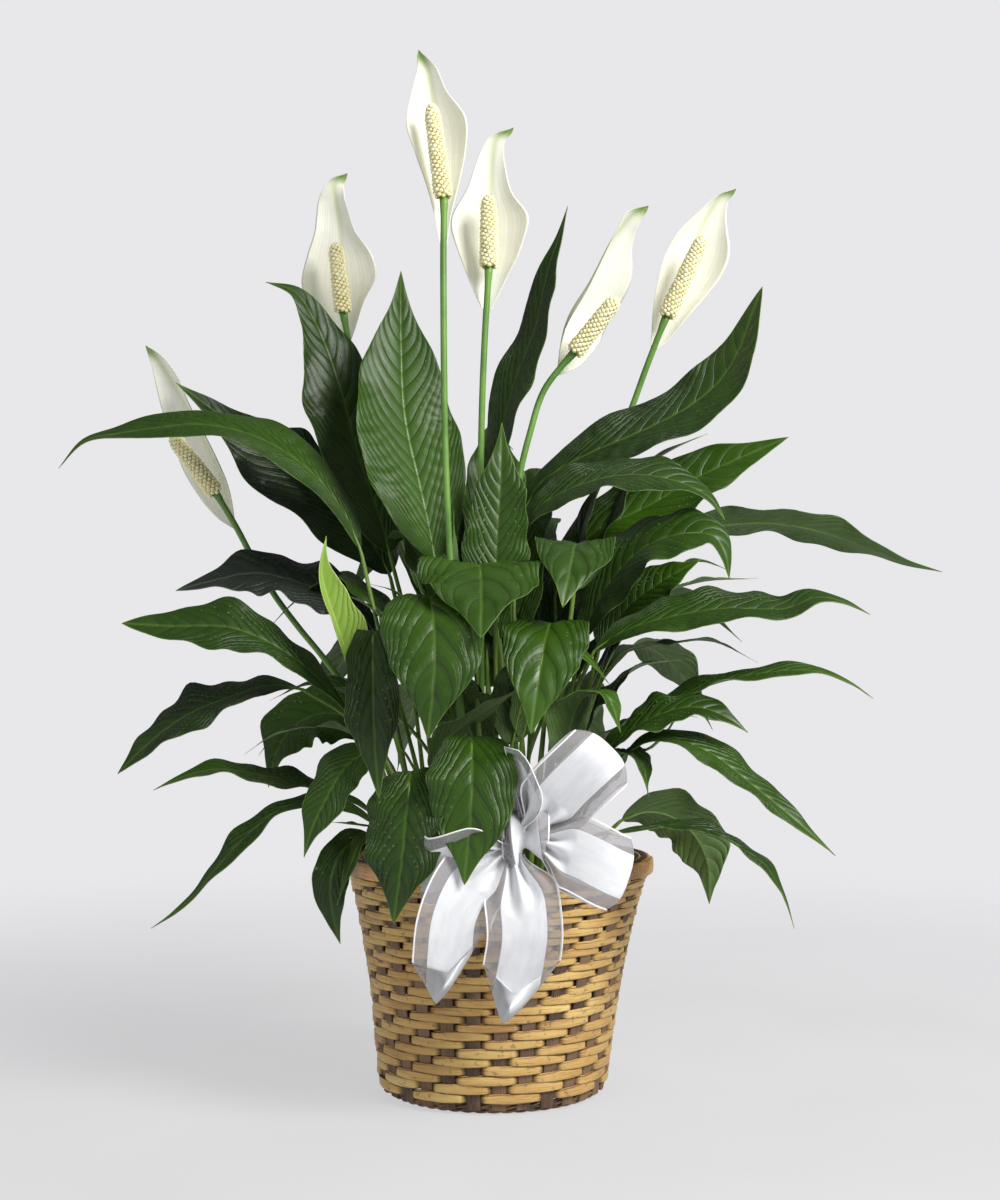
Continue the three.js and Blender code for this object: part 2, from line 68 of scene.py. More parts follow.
# The woven wall leans: its foot stands a little to the left of its rim.
FOOT_SHIFT = 4 * MM
LEANING = Matrix(((1, 0, FOOT_SHIFT / WALL_HIGH[2], -FOOT_SHIFT), (0, 1, 0, 0), (0, 0, 1, 0), (0, 0, 0, 1)))


# ---- colours --------------------------------------------------------------------------------


def shade(red, green, blue):
    """A colour given by its screen values from 0 to 255, as Blender's linear colour."""
    parts = [value / 255 for value in (red, green, blue)]
    linear = [p / 12.92 if p <= 0.04045 else ((p + 0.055) / 1.055) ** 2.4 for p in parts]
    return (*linear, 1.0)


# ---- node trees -----------------------------------------------------------------------------


def add(tree, kind, inputs=None, **settings):
    """Adds a node with its settings, and fills the named or numbered inputs with values or sockets."""
    node = tree.nodes.new(kind)
    for name, value in settings.items():
        setattr(node, name, value)
    for key, value in (inputs or {}).items():
        if isinstance(value, bpy.types.NodeSocket):
            tree.links.new(value, node.inputs[key])
        else:
            node.inputs[key].default_value = value
    return node


def made(tree, kind, inputs=None, **settings):
    """The first output of a node added with its settings and inputs."""
    return add(tree, kind, inputs, **settings).outputs[0]


def maths(tree, operation, *values):
    """The result of a Math node on two or three values."""
    return made(tree, "ShaderNodeMath", dict(enumerate(values)), operation=operation)


def plus(tree, first, second):
    """The sum of two values."""
    return maths(tree, "ADD", first, second)


def minus(tree, first, second):
    """The first value less the second."""
    return maths(tree, "SUBTRACT", first, second)


def times(tree, first, second):
    """The product of two values."""
    return maths(tree, "MULTIPLY", first, second)


def over(tree, first, second):
    """The first value divided by the second."""
    return maths(tree, "DIVIDE", first, second)


def vectors(tree, operation, *values):
    """The vector that a Vector Math node gives."""
    return made(tree, "ShaderNodeVectorMath", dict(enumerate(values)), operation=operation)


def ranged(tree, value, low, high, to_low=0.0, to_high=1.0, smooth=True):
    """A value mapped from one range to another and held at its ends."""
    how = "SMOOTHSTEP" if smooth else "LINEAR"
    spots = {0: value, 1: low, 2: high, 3: to_low, 4: to_high}
    return made(tree, "ShaderNodeMapRange", spots, interpolation_type=how)


def tint(tree, share, first, second):
    """Two colours mixed by a share."""
    spots = {0: share, 6: first, 7: second}
    return add(tree, "ShaderNodeMix", spots, data_type="RGBA", blend_type="MIX").outputs[2]


def cloud(tree, place, scale, detail, roughness=0.55):
    """Soft noise at a place, as many bumps to the unit as its scale."""
    spots = {"Vector": place, "Scale": scale, "Detail": detail, "Roughness": roughness}
    return made(tree, "ShaderNodeTexNoise", spots)


def stretched(tree, place, scale):
    """A place with each of its axes scaled."""
    return vectors(tree, "MULTIPLY", place, scale)


def combined(tree, x, y, z):
    """A vector from three values."""
    return made(tree, "ShaderNodeCombineXYZ", {0: x, 1: y, 2: z})


def split(tree, vector):
    """The three parts of a vector."""
    return add(tree, "ShaderNodeSeparateXYZ", {0: vector}).outputs


def attribute(tree, name):
    """A vector stored on the piece's own points."""
    return add(tree, "ShaderNodeAttribute", attribute_name=name).outputs["Vector"]


def new_group(name, kind, inputs, outputs):
    """A node group with named sockets, and its input and output nodes."""
    tree = bpy.data.node_groups.new(name, kind)
    for label, socket_type, default in inputs:
        socket = tree.interface.new_socket(label, in_out="INPUT", socket_type=socket_type)
        if default is not None:
            socket.default_value = default
    for label, socket_type in outputs:
        tree.interface.new_socket(label, in_out="OUTPUT", socket_type=socket_type)
    return tree, tree.nodes.new("NodeGroupInput").outputs, tree.nodes.new("NodeGroupOutput").inputs


def use_group(tree, group, inputs):
    """Places a shader group in a tree, with its inputs filled."""
    node = tree.nodes.new("ShaderNodeGroup")
    node.node_tree = group
    for key, value in inputs.items():
        if isinstance(value, bpy.types.NodeSocket):
            tree.links.new(value, node.inputs[key])
        else:
            node.inputs[key].default_value = value
    return node.outputs


def new_material(name):
    """An empty material with a Principled BSDF, and its tree."""
    material = bpy.data.materials.new(name)
    material.use_nodes = True
    tree = material.node_tree
    return material, tree, tree.nodes["Principled BSDF"]


def finish_surface(tree, shader, colour, roughness, height, distance, strength, **constants):
    """Feeds the shader its colour, roughness and bump, and sets its other sockets."""
    tree.links.new(colour, shader.inputs["Base Color"])
    if isinstance(roughness, bpy.types.NodeSocket):
        tree.links.new(roughness, shader.inputs["Roughness"])
    else:
        shader.inputs["Roughness"].default_value = roughness
    if height is not None:
        spots = {"Height": height, "Distance": distance, "Strength": strength}
        bump = add(tree, "ShaderNodeBump", spots)
        tree.links.new(bump.outputs[0], shader.inputs["Normal"])
    for name, value in constants.items():
        shader.inputs[name.replace("_", " ")].default_value = value


FLOAT, VECTOR = "NodeSocketFloat", "NodeSocketVector"


def fibre_group():
    """Long fine fibres, with flecks and slow changes of tone, for reed and wood."""
    tree, given, out = new_group(
        "Reed fibres",
        "ShaderNodeTree",
        [("Place", VECTOR, None), ("Fibre Scale", VECTOR, (40, 40, 1500)), ("Fleck Scale", FLOAT, 160.0)],
        [("Fibre", FLOAT), ("Fleck", FLOAT), ("Tone", FLOAT)],
    )
    fibre = cloud(tree, stretched(tree, given["Place"], given["Fibre Scale"]), 1.0, 4.0, 0.6)
    fleck = cloud(tree, given["Place"], given["Fleck Scale"], 2.0, 0.5)
    tone = cloud(tree, given["Place"], 22.0, 2.0, 0.5)
    tree.links.new(ranged(tree, fibre, 0.3, 0.7), out["Fibre"])
    tree.links.new(ranged(tree, fleck, 0.60, 0.72), out["Fleck"])
    tree.links.new(ranged(tree, tone, 0.35, 0.65), out["Tone"])
    return tree


def vein_group():
    """The veins of a leaf or spathe from its own measures: the side veins, the midrib and the edge."""
    tree, given, out = new_group(
        "Leaf veins",
        "ShaderNodeTree",
        [("Blade", VECTOR, None), ("Place", VECTOR, None), ("Rib Width", FLOAT, 1.2)],
        [("Pleat", FLOAT), ("Groove", FLOAT), ("Rib", FLOAT), ("Edge", FLOAT), ("Mottle", FLOAT)],
    )
    phase, from_rib, from_edge = split(tree, given["Blade"])[:3]
    wander = cloud(tree, given["Place"], 34.0, 2.0, 0.5)
    phase = plus(tree, phase, times(tree, wander, 0.5))
    part = maths(tree, "FRACT", phase)
    away = times(tree, maths(tree, "ABSOLUTE", minus(tree, part, 0.5)), 2.0)
    fine = maths(tree, "FRACT", times(tree, phase, 4.0))
    fine = times(tree, maths(tree, "ABSOLUTE", minus(tree, fine, 0.5)), 2.0)
    whole = plus(tree, from_rib, from_edge)
    broad = ranged(tree, whole, 4.0, 15.0)
    groove = times(tree, ranged(tree, away, 0.70, 1.0), broad)
    pleat = minus(tree, 1.0, times(tree, maths(tree, "POWER", away, 2.2), broad))
    lines = times(tree, ranged(tree, fine, 0.6, 1.0), ranged(tree, whole, 12.0, 26.0, 0.0, -0.12))
    tree.links.new(plus(tree, pleat, lines), out["Pleat"])
    tree.links.new(groove, out["Groove"])
    rib = ranged(tree, from_rib, times(tree, given["Rib Width"], 1.5), 0.0)
    tree.links.new(rib, out["Rib"])
    tree.links.new(ranged(tree, from_edge, 0.75, 0.2), out["Edge"])
    mottle = cloud(tree, given["Place"], 75.0, 4.0, 0.6)
    tree.links.new(ranged(tree, mottle, 0.3, 0.7), out["Mottle"])
    return tree


GROUPS = {}


def shared(name, build):
    """A shader group that is built once and used in many materials."""
    if name not in GROUPS:
        GROUPS[name] = build()
    return GROUPS[name]


def object_place(tree):
    """The Object coordinates of the piece."""
    return tree.nodes.new("ShaderNodeTexCoord").outputs["Object"]


# ---- materials ------------------------------------------------------------------------------


def leaf_material(name, deep, bright, rib_colour, under, gloss):
    """A pleated leaf: deep green on top with a paler midrib and painted shade in its sunken side veins, and a
    paler, duller underside.
    """
    material, tree, shader = new_material(name)
    place = object_place(tree)
    veins = use_group(tree, shared("veins", vein_group), {"Blade": attribute(tree, "blade"), "Place": place})
    tone, on_blade, below = split(tree, attribute(tree, "look"))[:3]
    green = tint(tree, tone, deep, bright)
    lighter = tint(tree, 0.35, green, bright)
    green = tint(tree, times(tree, veins["Mottle"], 0.45), green, lighter)
    # Painted shade: the top of the blade is darkened along its sunken side veins.
    green = tint(tree, times(tree, veins["Groove"], 0.22), green, deep)
    green = tint(tree, times(tree, veins["Rib"], 0.24), green, rib_colour)
    green = tint(tree, times(tree, veins["Edge"], 0.55), green, rib_colour)
    pale = tint(tree, times(tree, veins["Groove"], 0.35), under, rib_colour)
    pale = tint(tree, times(tree, veins["Mottle"], 0.3), pale, green)
    green = tint(tree, below, green, pale)
    stalk = tint(tree, times(tree, veins["Mottle"], 0.4), rib_colour, bright)
    colour = tint(tree, on_blade, stalk, green)
    dull = plus(tree, times(tree, below, 0.25), gloss)
    roughness = plus(tree, dull, times(tree, veins["Mottle"], 0.12))
    fine = cloud(tree, place, 900.0, 2.0, 0.5)
    height = plus(tree, veins["Pleat"], times(tree, fine, 0.03))
    height = times(tree, height, on_blade)
    finish_surface(
        tree, shader, colour, roughness, height, 0.7 * MM, 1.0,
        Specular_IOR_Level=0.30, Coat_Weight=0.12, Coat_Roughness=0.20,
    )
    return material


def spathe_material(settings):
    """The white spathe, with a faint painted glow that keeps it white in the shade, green along its midrib and
    at its hooked tip.
    """
    material, tree, shader = new_material("Spathe white")
    place = object_place(tree)
    veins = use_group(
        tree,
        shared("veins", vein_group),
        {"Blade": attribute(tree, "blade"), "Place": place, "Rib Width": 2.2},
    )
    look = split(tree, attribute(tree, "look"))
    green_share, below = look[0], look[2]
    white = tint(tree, times(tree, veins["Mottle"], 0.25), settings.spathe_colour[:], shade(216, 217, 198))
    white = tint(tree, times(tree, veins["Groove"], 0.16), white, shade(205, 214, 180))
    white = tint(tree, times(tree, below, 0.4), white, shade(232, 238, 216))
    white = tint(tree, times(tree, veins["Rib"], 0.45), white, shade(190, 205, 140))
    colour = tint(tree, green_share, white, settings.tip_colour[:])
    # The emission is painted light: a faint glow that keeps the spathe white in the shade.
    finish_surface(
        tree, shader, colour, 0.46, veins["Pleat"], 0.35 * MM, 0.2,
        Emission_Color=shade(214, 214, 190), Emission_Strength=0.06,
    )
    return material


def spadix_material(settings):
    """Creamy florets, with painted shade, tinged green, low on each floret and in the gaps between them."""
    material, tree, shader = new_material("Spadix cream")
    place = object_place(tree)
    raised = split(tree, attribute(tree, "raised"))[0]
    spots = cloud(tree, place, 420.0, 2.0, 0.5)
    cream = tint(tree, ranged(tree, spots, 0.35, 0.65), settings.spadix_colour[:], shade(250, 246, 214))
    # Painted shade: the core and the lower part of each floret are darkened towards olive green.
    colour = tint(tree, raised, shade(176, 170, 92), cream)
    finish_surface(
        tree, shader, colour, 0.62, cloud(tree, place, 1500.0, 2.0), 0.2 * MM, 0.5,
        Subsurface_Weight=0.15, Subsurface_Radius=(1.0, 0.8, 0.4), Subsurface_Scale=1 * MM,
    )
    return material


def stem_material(settings):
    """A smooth flower stem with long, paler ridges, its green changing at random along it."""
    material, tree, shader = new_material("Stem green")
    place = object_place(tree)
    ridges = cloud(tree, stretched(tree, place, (900, 900, 12)), 1.0, 2.0, 0.5)
    tone = cloud(tree, place, 30.0, 3.0)
    colour = tint(tree, ranged(tree, tone, 0.35, 0.65), settings.stem_colour[:], shade(104, 150, 62))
    colour = tint(tree, times(tree, ridges, 0.3), colour, shade(140, 176, 92))
    finish_surface(tree, shader, colour, 0.42, ridges, 0.3 * MM, 0.7)
    return material


def reed_material(settings):
    """Varnished reed weavers: straw to golden brown, fibrous, with painted shade where they duck under the
    stakes and along the edges where the rows meet.
    """
    material, tree, shader = new_material("Golden reed")
    place = object_place(tree)
    strand = attribute(tree, "strand")
    run, bulge = split(tree, strand)[:2]
    fibres = use_group(
        tree,
        shared("fibres", fibre_group),
        {"Place": place, "Fibre Scale": (45, 45, 1700), "Fleck Scale": 210.0},
    )
    length = cloud(tree, combined(tree, times(tree, run, 5.3), 0.0, 0.0), 1.0, 0.0)
    ramp = add(tree, "ShaderNodeValToRGB", {0: ranged(tree, length, 0.28, 0.72, smooth=False)})
    stops = ramp.color_ramp.elements
    stops[0].color, stops[1].color = shade(166, 120, 60), settings.reed_colour[:]
    middle = stops.new(0.42)
    middle.color = shade(206, 164, 88)
    colour = tint(tree, times(tree, fibres["Fibre"], 0.45), ramp.outputs[0], shade(240, 212, 142))
    colour = tint(tree, times(tree, fibres["Tone"], 0.30), colour, shade(178, 126, 66))
    colour = tint(tree, times(tree, fibres["Fleck"], 0.5), colour, shade(104, 66, 36))
    streak = ranged(tree, cloud(tree, stretched(tree, place, (60, 60, 1100)), 1.0, 2.0, 0.5), 0.56, 0.72)
    colour = tint(tree, times(tree, streak, 0.45), colour, shade(128, 84, 44))
    # Painted shade: each weaver is darkened along its upper and lower edges, where the rows meet.
    rim = ranged(tree, split(tree, attribute(tree, "section"))[0], 0.45, 0.95)
    colour = tint(tree, times(tree, rim, 0.80), colour, shade(84, 52, 27))
    # Painted shade: the weaver is darkened where it ducks under a stake.
    shadow = ranged(tree, bulge, 0.15, -0.8)
    colour = tint(tree, times(tree, shadow, 0.85), colour, shade(58, 38, 24))
    height = plus(tree, fibres["Fibre"], times(tree, fibres["Fleck"], -0.6))
    roughness = ranged(tree, fibres["Fibre"], 0.0, 1.0, 0.56, 0.42)
    finish_surface(tree, shader, colour, roughness, height, 0.35 * MM, 0.8)
    return material


def wood_material(name, light, dark, fibre_scale, roughness):
    """Split wood or bark with grain that runs along it, worn paler on high spots."""
    material, tree, shader = new_material(name)
    place = object_place(tree)
    fibres = use_group(
        tree,
        shared("fibres", fibre_group),
        {"Place": place, "Fibre Scale": fibre_scale, "Fleck Scale": 120.0},
    )
    colour = tint(tree, fibres["Tone"], dark, light)
    colour = tint(tree, times(tree, fibres["Fibre"], 0.5), colour, light)
    dirt = tint(tree, 0.6, colour, shade(34, 22, 16))
    colour = tint(tree, times(tree, fibres["Fleck"], 0.55), colour, dirt)
    finish_surface(tree, shader, colour, roughness, fibres["Fibre"], 0.4 * MM, 0.9)
    return material


def soil_material():
    """Dark, damp potting mix with paler fibres."""
    material, tree, shader = new_material("Potting mix")
    place = object_place(tree)
    lumps = cloud(tree, place, 260.0, 5.0, 0.7)
    colour = tint(tree, ranged(tree, lumps, 0.35, 0.75), shade(24, 16, 12), shade(74, 54, 38))
    finish_surface(tree, shader, colour, 0.92, lumps, 2.5 * MM, 1.0)
    return material


def pot_material():
    """Moulded brown plastic, dulled by scuffs."""
    material, tree, shader = new_material("Pot plastic")
    place = object_place(tree)
    scuffs = cloud(tree, stretched(tree, place, (60, 60, 400)), 1.0, 4.0, 0.6)
    colour = tint(tree, ranged(tree, scuffs, 0.4, 0.7), shade(44, 32, 26), shade(66, 50, 40))
    finish_surface(tree, shader, colour, ranged(tree, scuffs, 0.3, 0.7, 0.35, 0.6), scuffs, 0.2 * MM, 0.4)
    return material


def ribbon_material(settings):
    """Satin down the middle, sheer organza along both sides, and a white corded edge."""
    material, tree, shader = new_material("Satin and organza ribbon")
    uv = made(tree, "ShaderNodeUVMap", uv_map="UVMap")
    along, across = split(tree, uv)[:2]
    away = times(tree, maths(tree, "ABSOLUTE", minus(tree, across, 0.5)), 2.0)
    border = 1.0 - 2.0 * settings.border_share
    sheer = ranged(tree, away, border - 0.012, border + 0.012)
    cord = ranged(tree, away, 0.955, 0.975)
    warp = add(
        tree, "ShaderNodeTexWave", {"Vector": uv, "Scale": 130.0, "Distortion": 0.0}, bands_direction="Y"
    )
    weft = add(
        tree, "ShaderNodeTexWave", {"Vector": uv, "Scale": 260.0, "Distortion": 0.0}, bands_direction="X"
    )
    threads = times(tree, warp.outputs["Fac"], weft.outputs["Fac"])
    moire = cloud(tree, stretched(tree, uv, (3.0, 9.0, 1.0)), 1.0, 3.0)
    satin = tint(tree, ranged(tree, moire, 0.3, 0.7), settings.satin_colour[:], shade(226, 229, 233))
    organza = tint(tree, ranged(tree, threads, 0.1, 0.6), shade(176, 173, 175), shade(212, 211, 214))
    colour = tint(tree, sheer, satin, organza)
    colour = tint(tree, cord, colour, shade(252, 252, 252))
    veil = plus(tree, times(tree, threads, 0.14), settings.organza_cover)
    veil = plus(tree, veil, times(tree, ranged(tree, moire, 0.35, 0.65), 0.06))
    open_share = times(tree, sheer, minus(tree, 1.0, cord))
    alpha = minus(tree, 1.0, times(tree, open_share, minus(tree, 1.0, veil)))
    tree.links.new(alpha, shader.inputs["Alpha"])
    roughness = plus(tree, times(tree, sheer, 0.25), 0.38)
    finish_surface(
        tree, shader, colour, roughness, threads, 0.12 * MM, 0.35, Sheen_Weight=0.25, Sheen_Roughness=0.4
    )
    return material


def floor_material(settings):
    """A pale floor that fades into the light behind it."""
    material, tree, shader = new_material("Pale floor")
    place = object_place(tree)
    far = add(tree, "ShaderNodeVectorMath", {0: place}, operation="LENGTH").outputs["Value"]
    grain = cloud(tree, place, 3.0, 2.0)
    colour = tint(tree, ranged(tree, grain, 0.3, 0.7), settings.floor_colour[:], shade(115, 115, 116))
    tree.links.new(colour, shader.inputs["Base Color"])
    tree.links.new(colour, shader.inputs["Emission Color"])
    shader.inputs["Emission Strength"].default_value = settings.floor_glow
    shader.inputs["Roughness"].default_value = 0.9
    glow = add(tree, "ShaderNodeEmission", {"Color": settings.backdrop_colour[:], "Strength": 1.0})
    share = ranged(tree, far, settings.fade_start, settings.fade_end)
    mix = add(tree, "ShaderNodeMixShader", {0: share, 1: shader.outputs[0], 2: glow.outputs[0]})
    tree.links.new(mix.outputs[0], tree.nodes["Material Output"].inputs["Surface"])
    return material


# ---- curves and closed skins ----------------------------------------------------------------


def smooth_path(points, count):
    """Places evenly spaced along the smooth curve that passes through the points."""
    knots = np.asarray(points, float)
    padded = np.vstack([2 * knots[0] - knots[1], knots, 2 * knots[-1] - knots[-2]])
    dense = []
    for i in range(len(knots) - 1):
        p0, p1, p2, p3 = padded[i : i + 4]
        gaps = [max(1e-6, np.linalg.norm(b - a)) ** 0.5 for a, b in ((p0, p1), (p1, p2), (p2, p3))]
        t0, t1, t2, t3 = np.cumsum([0.0] + gaps)
        t = np.linspace(t1, t2, 24, endpoint=False)[:, None]
        a1 = (t1 - t) / (t1 - t0) * p0 + (t - t0) / (t1 - t0) * p1
        a2 = (t2 - t) / (t2 - t1) * p1 + (t - t1) / (t2 - t1) * p2
        a3 = (t3 - t) / (t3 - t2) * p2 + (t - t2) / (t3 - t2) * p3
        b1 = (t2 - t) / (t2 - t0) * a1 + (t - t0) / (t2 - t0) * a2
        b2 = (t3 - t) / (t3 - t1) * a2 + (t - t1) / (t3 - t1) * a3
        dense.append((t2 - t) / (t2 - t1) * b1 + (t - t1) / (t2 - t1) * b2)
    dense = np.vstack(dense + [knots[-1:]])
    run = np.concatenate([[0.0], np.cumsum(np.linalg.norm(np.diff(dense, axis=0), axis=1))])
    wanted = np.linspace(0.0, run[-1], count)
    return np.stack([np.interp(wanted, run, dense[:, i]) for i in range(dense.shape[1])], axis=1)


def length_of(path):
    """The length of a path."""
    return float(np.linalg.norm(np.diff(path, axis=0), axis=1).sum())


def unit(vector):
    """A vector, or each row of several, made one long."""
    vector = np.asarray(vector, float)
    return vector / np.maximum(np.linalg.norm(vector, axis=-1, keepdims=True), 1e-12)


def tangents(path):
    """The direction of a path at each of its places."""
    return unit(np.gradient(path, axis=0))


def squared_up(along, across):
    """Directions across and up that stand square to the path, kept close to the given across."""
    up = unit(np.cross(along, across))
    return np.cross(up, along), up


def carried(path, first):
    """Directions across and up along a path, turning no more than the path does."""
    along = tangents(path)
    across = [unit(first - along[0] * np.dot(first, along[0]))]
    for i in range(1, len(path)):
        last = across[-1]
        across.append(unit(last - along[i] * np.dot(last, along[i])))
    return squared_up(along, np.array(across))


def eased(value, low, high):
    """A smooth step from 0 to 1 as a value goes from low to high."""
    share = np.clip((np.asarray(value, float) - low) / (high - low), 0.0, 1.0)
    return share * share * (3.0 - 2.0 * share)


class Skin:
    """Collects closed shells, each lofted through rings of points, with the values stored on the points."""

    def __init__(self):
        self.points, self.uvs, self.blades, self.looks, self.faces = [], [], [], [], []
        self.count = 0

    def loft(self, rings, uv=None, blade=None, look=None):
        """Adds a shell through rings shaped (rows, around, 3), closed round each ring and at both ends."""
        rows, around = rings.shape[:2]
        values = []
        for given, width in ((uv, 2), (blade, 3), (look, 3)):
            given = 0.0 if given is None else given
            values.append(np.broadcast_to(given, (rows, around, width)))
        first = self.count
        for store, value in zip((self.points, self.uvs, self.blades, self.looks), (rings, *values)):
            store.append(np.asarray(value, float).reshape(rows * around, -1))
            store.append(np.stack([value[0].mean(0), value[-1].mean(0)]))
        i = np.arange(around)
        j = (i + 1) % around
        quads = []
        for row in range(rows - 1):
            a, b = first + row * around, first + (row + 1) * around
            quads.append(np.stack([a + i, a + j, b + j, b + i], axis=1))
        self.faces.extend(np.vstack(quads).tolist())
        low, high = first + rows * around, first + rows * around + 1
        last = first + (rows - 1) * around
        self.faces.extend([[low, first + int(b), first + int(a)] for a, b in zip(i, j)])
        self.faces.extend([[high, last + int(a), last + int(b)] for a, b in zip(i, j)])
        self.count += rows * around + 2

    def tube(self, path, radii, sides, uv=None, blade=None, look=None, flatness=1.0, first=(1.0, 0.0, 0.0)):
        """Adds a round rod along a path."""
        across, up = carried(path, np.array(first, float))
        turn = np.linspace(0.0, 2 * math.pi, sides, endpoint=False)
        radii = np.broadcast_to(radii, (len(path),))[:, None, None]
        ring = across[:, None] * np.cos(turn)[None, :, None]
        ring = ring + up[:, None] * np.sin(turn)[None, :, None] * flatness
        self.loft(path[:, None] + ring * radii, uv, blade, look)

    def piece(self, name, material, nodes=(), slot=None):
        """Makes the mesh, with its faces outward, and hands it to the frame as a piece."""
        mesh = bpy.data.meshes.new(name)
        mesh.from_pydata(np.vstack(self.points).tolist(), [], self.faces)
        mesh.validate()
        corner = np.empty(len(mesh.loops), np.int32)
        mesh.loops.foreach_get("vertex_index", corner)
        layer = mesh.uv_layers.new(name="UVMap")
        layer.uv.foreach_set("vector", np.vstack(self.uvs)[corner].ravel())
        for label, values in (("blade", self.blades), ("look", self.looks)):
            stored = mesh.attributes.new(label, "FLOAT_VECTOR", "POINT")
            stored.data.foreach_set("vector", np.vstack(values).ravel())
        bm = bmesh.new()
        bm.from_mesh(mesh)
        bmesh.ops.recalc_face_normals(bm, faces=bm.faces)
        bm.to_mesh(mesh)
        bm.free()
        mesh.shade_smooth()
        piece = bpy.data.objects.new(name, mesh)
        bpy.context.scene.collection.objects.link(piece)
        mesh.materials.append(material)
        return hand_over(piece, nodes)


def hand_over(piece, nodes):
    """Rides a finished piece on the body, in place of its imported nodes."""
    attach(piece, BODY)
    if nodes:
        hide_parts(*nodes)
    return piece


# ---- blades: leaves and spathes -------------------------------------------------------------


class Blade:
    """The middle line of a leaf or spathe with its directions across and up, and its stalk's path."""

    def __init__(self, stalk, middle, across, up, half):
        self.stalk, self.middle, self.across, self.up, self.half = stalk, middle, across, up, half
        self.length = length_of(middle)


def packed_rings(node, ring_size, reach):
    """The rings of a packed blade's points, from its root to its tip."""
    bm = bmesh.new()
    bm.from_mesh(NODES[node].data)
    bmesh.ops.remove_doubles(bm, verts=bm.verts, dist=1e-6)
    bm.verts.index_update()
    near = [v for v in bm.verts if math.hypot(v.co.x, v.co.y) < reach]
    lowest = min(near, key=lambda v: (v.co.z, v.index)).co.copy()
    ring = sorted(near, key=lambda v: ((v.co - lowest).length, v.index))[:ring_size]
    seen, rings = set(ring), []
    while ring:
        rings.append(np.array([v.co[:] for v in ring]))
        beyond = {e.other_vert(v) for v in ring for e in v.link_edges} - seen
        seen |= beyond
        ring = sorted(beyond, key=lambda v: v.index)
    bm.free()
    if len({len(r) for r in rings}) != 1:
        raise RuntimeError(f"{node}: its rings don't all hold {ring_size} points")
    return rings


def measured_blade(node, ring_size, reach, stalk_rings, outline):
    """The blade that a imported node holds, resampled along its middle line."""
    rings = packed_rings(node, ring_size, reach)
    centres, sides, ups, halves = [], [], [], []
    for ring in rings:
        apart = np.linalg.norm(ring[:, None] - ring[None], axis=2)
        a, b = np.unravel_index(apart.argmax(), apart.shape)
        reach_across = (ring[a] - ring[b]) / 2
        edge_middle = (ring[a] + ring[b]) / 2
        sideways = (ring - edge_middle) @ unit(reach_across)
        inner = np.abs(sideways) < 0.3 * np.linalg.norm(reach_across)
        centre = ring[inner].mean(0) if inner.any() else ring.mean(0)
        centres.append(centre)
        sides.append(reach_across)
        halves.append(np.linalg.norm(reach_across))
        ups.append(edge_middle - centre)
    centres, halves = np.array(centres), np.array(halves)
    along = tangents(centres)
    good = [k for k in range(stalk_rings, len(rings)) if halves[k] > 2.5 * MM]
    across = np.zeros_like(centres)
    for k in good:
        side, up = unit(sides[k]), unit(ups[k])
        across[k] = side if np.dot(np.cross(along[k], side), up) > 0 else -side
    for k in range(len(rings)):
        if k not in good:
            across[k] = across[min(good, key=lambda g: abs(g - k))]
    blade_start = max(0, stalk_rings - 1)
    rows = max(24, int(length_of(centres[blade_start:]) / outline["row"]))
    middle = smooth_path(centres[blade_start:], rows)
    run = np.concatenate([[0.0], np.cumsum(np.linalg.norm(np.diff(centres[blade_start:], axis=0), axis=1))])
    share = np.linspace(0.0, 1.0, rows)
    knots = run / run[-1]
    turned = np.stack([np.interp(share, knots, across[blade_start:, i]) for i in range(3)], axis=1)
    for _ in range(3):
        turned[1:-1] = (turned[:-2] + 2 * turned[1:-1] + turned[2:]) / 4
    side, up = squared_up(tangents(middle), unit(turned))
    edge = np.array(halves[blade_start:])
    edge[0] = outline["base_half"]
    if stalk_rings:
        knots, edge = np.insert(knots, 1, knots[1] * 0.35), np.insert(edge, 1, edge[1] * 0.56)
    half = np.interp(share, knots, edge)
    for _ in range(4):
        half[1:-1] = (half[:-2] + 2 * half[1:-1] + half[2:]) / 4
    half[-1] = 0.15 * MM
    stalk = smooth_path(centres[:stalk_rings], 24) if stalk_rings else None
    return Blade(stalk, middle, side, up, half)


def drawn_blade(root, points, start, width, roll=(0.0, 0.0), base=0.55):
    """A blade made from its root and the places that its middle line passes, all in millimetres."""
    ground = (root[0], root[1], SOIL_TOP / MM + 2)
    line = smooth_path(np.array([ground, *points]) * MM, 400)
    first = int(400 * start)
    rows = max(24, int(length_of(line[first:]) / LEAF_ROW))
    middle = smooth_path(line[first::12], rows) if len(line[first::12]) > 2 else line[first:]
    middle[-1] = line[-1]
    reach = unit((line[-1] - line[0]) * (1, 1, 0))
    side = np.cross((0.0, 0.0, 1.0), reach)
    across, up = squared_up(tangents(middle), np.broadcast_to(side, middle.shape))
    share = np.linspace(0.0, 1.0, rows)
    angle = np.radians(roll[0] + (roll[1] - roll[0]) * share)[:, None]
    across, up = across * np.cos(angle) - up * np.sin(angle), up * np.cos(angle) + across * np.sin(angle)
    shape = share**base * (1 - share) ** 0.95
    half = np.maximum(0.15 * MM, shape / shape.max() * width / 2 * MM)
    return Blade(line[: first + 1 : 8], middle, across, up, half)


LEAF_ROW = 3 * MM
LEAF_HABIT = {
    "tone": 0.4,
    "veins": 15.0,
    "slant": 0.42,
    "belly": 0.38,
    "full": 0.85,
    "wide": 1.08,
    "wobble": 0.10,
    "pointed": 0.55,
    "fold": 0.20,
    "arch": 0.10,
    "ripple": 0.10,
    "waves": 2.6,
    "pleat": 0.7,
    "turn": 0.0,
    "phase": 0.0,
    "lean": 0.0,
    "stalk": 1.7,
}


def surface_normals(top, up):
    """The outward direction at every point of a blade's top face."""
    normal = unit(np.cross(np.gradient(top, axis=1), np.gradient(top, axis=0)))
    return normal if (normal * up[:, None]).sum() > 0 else -normal


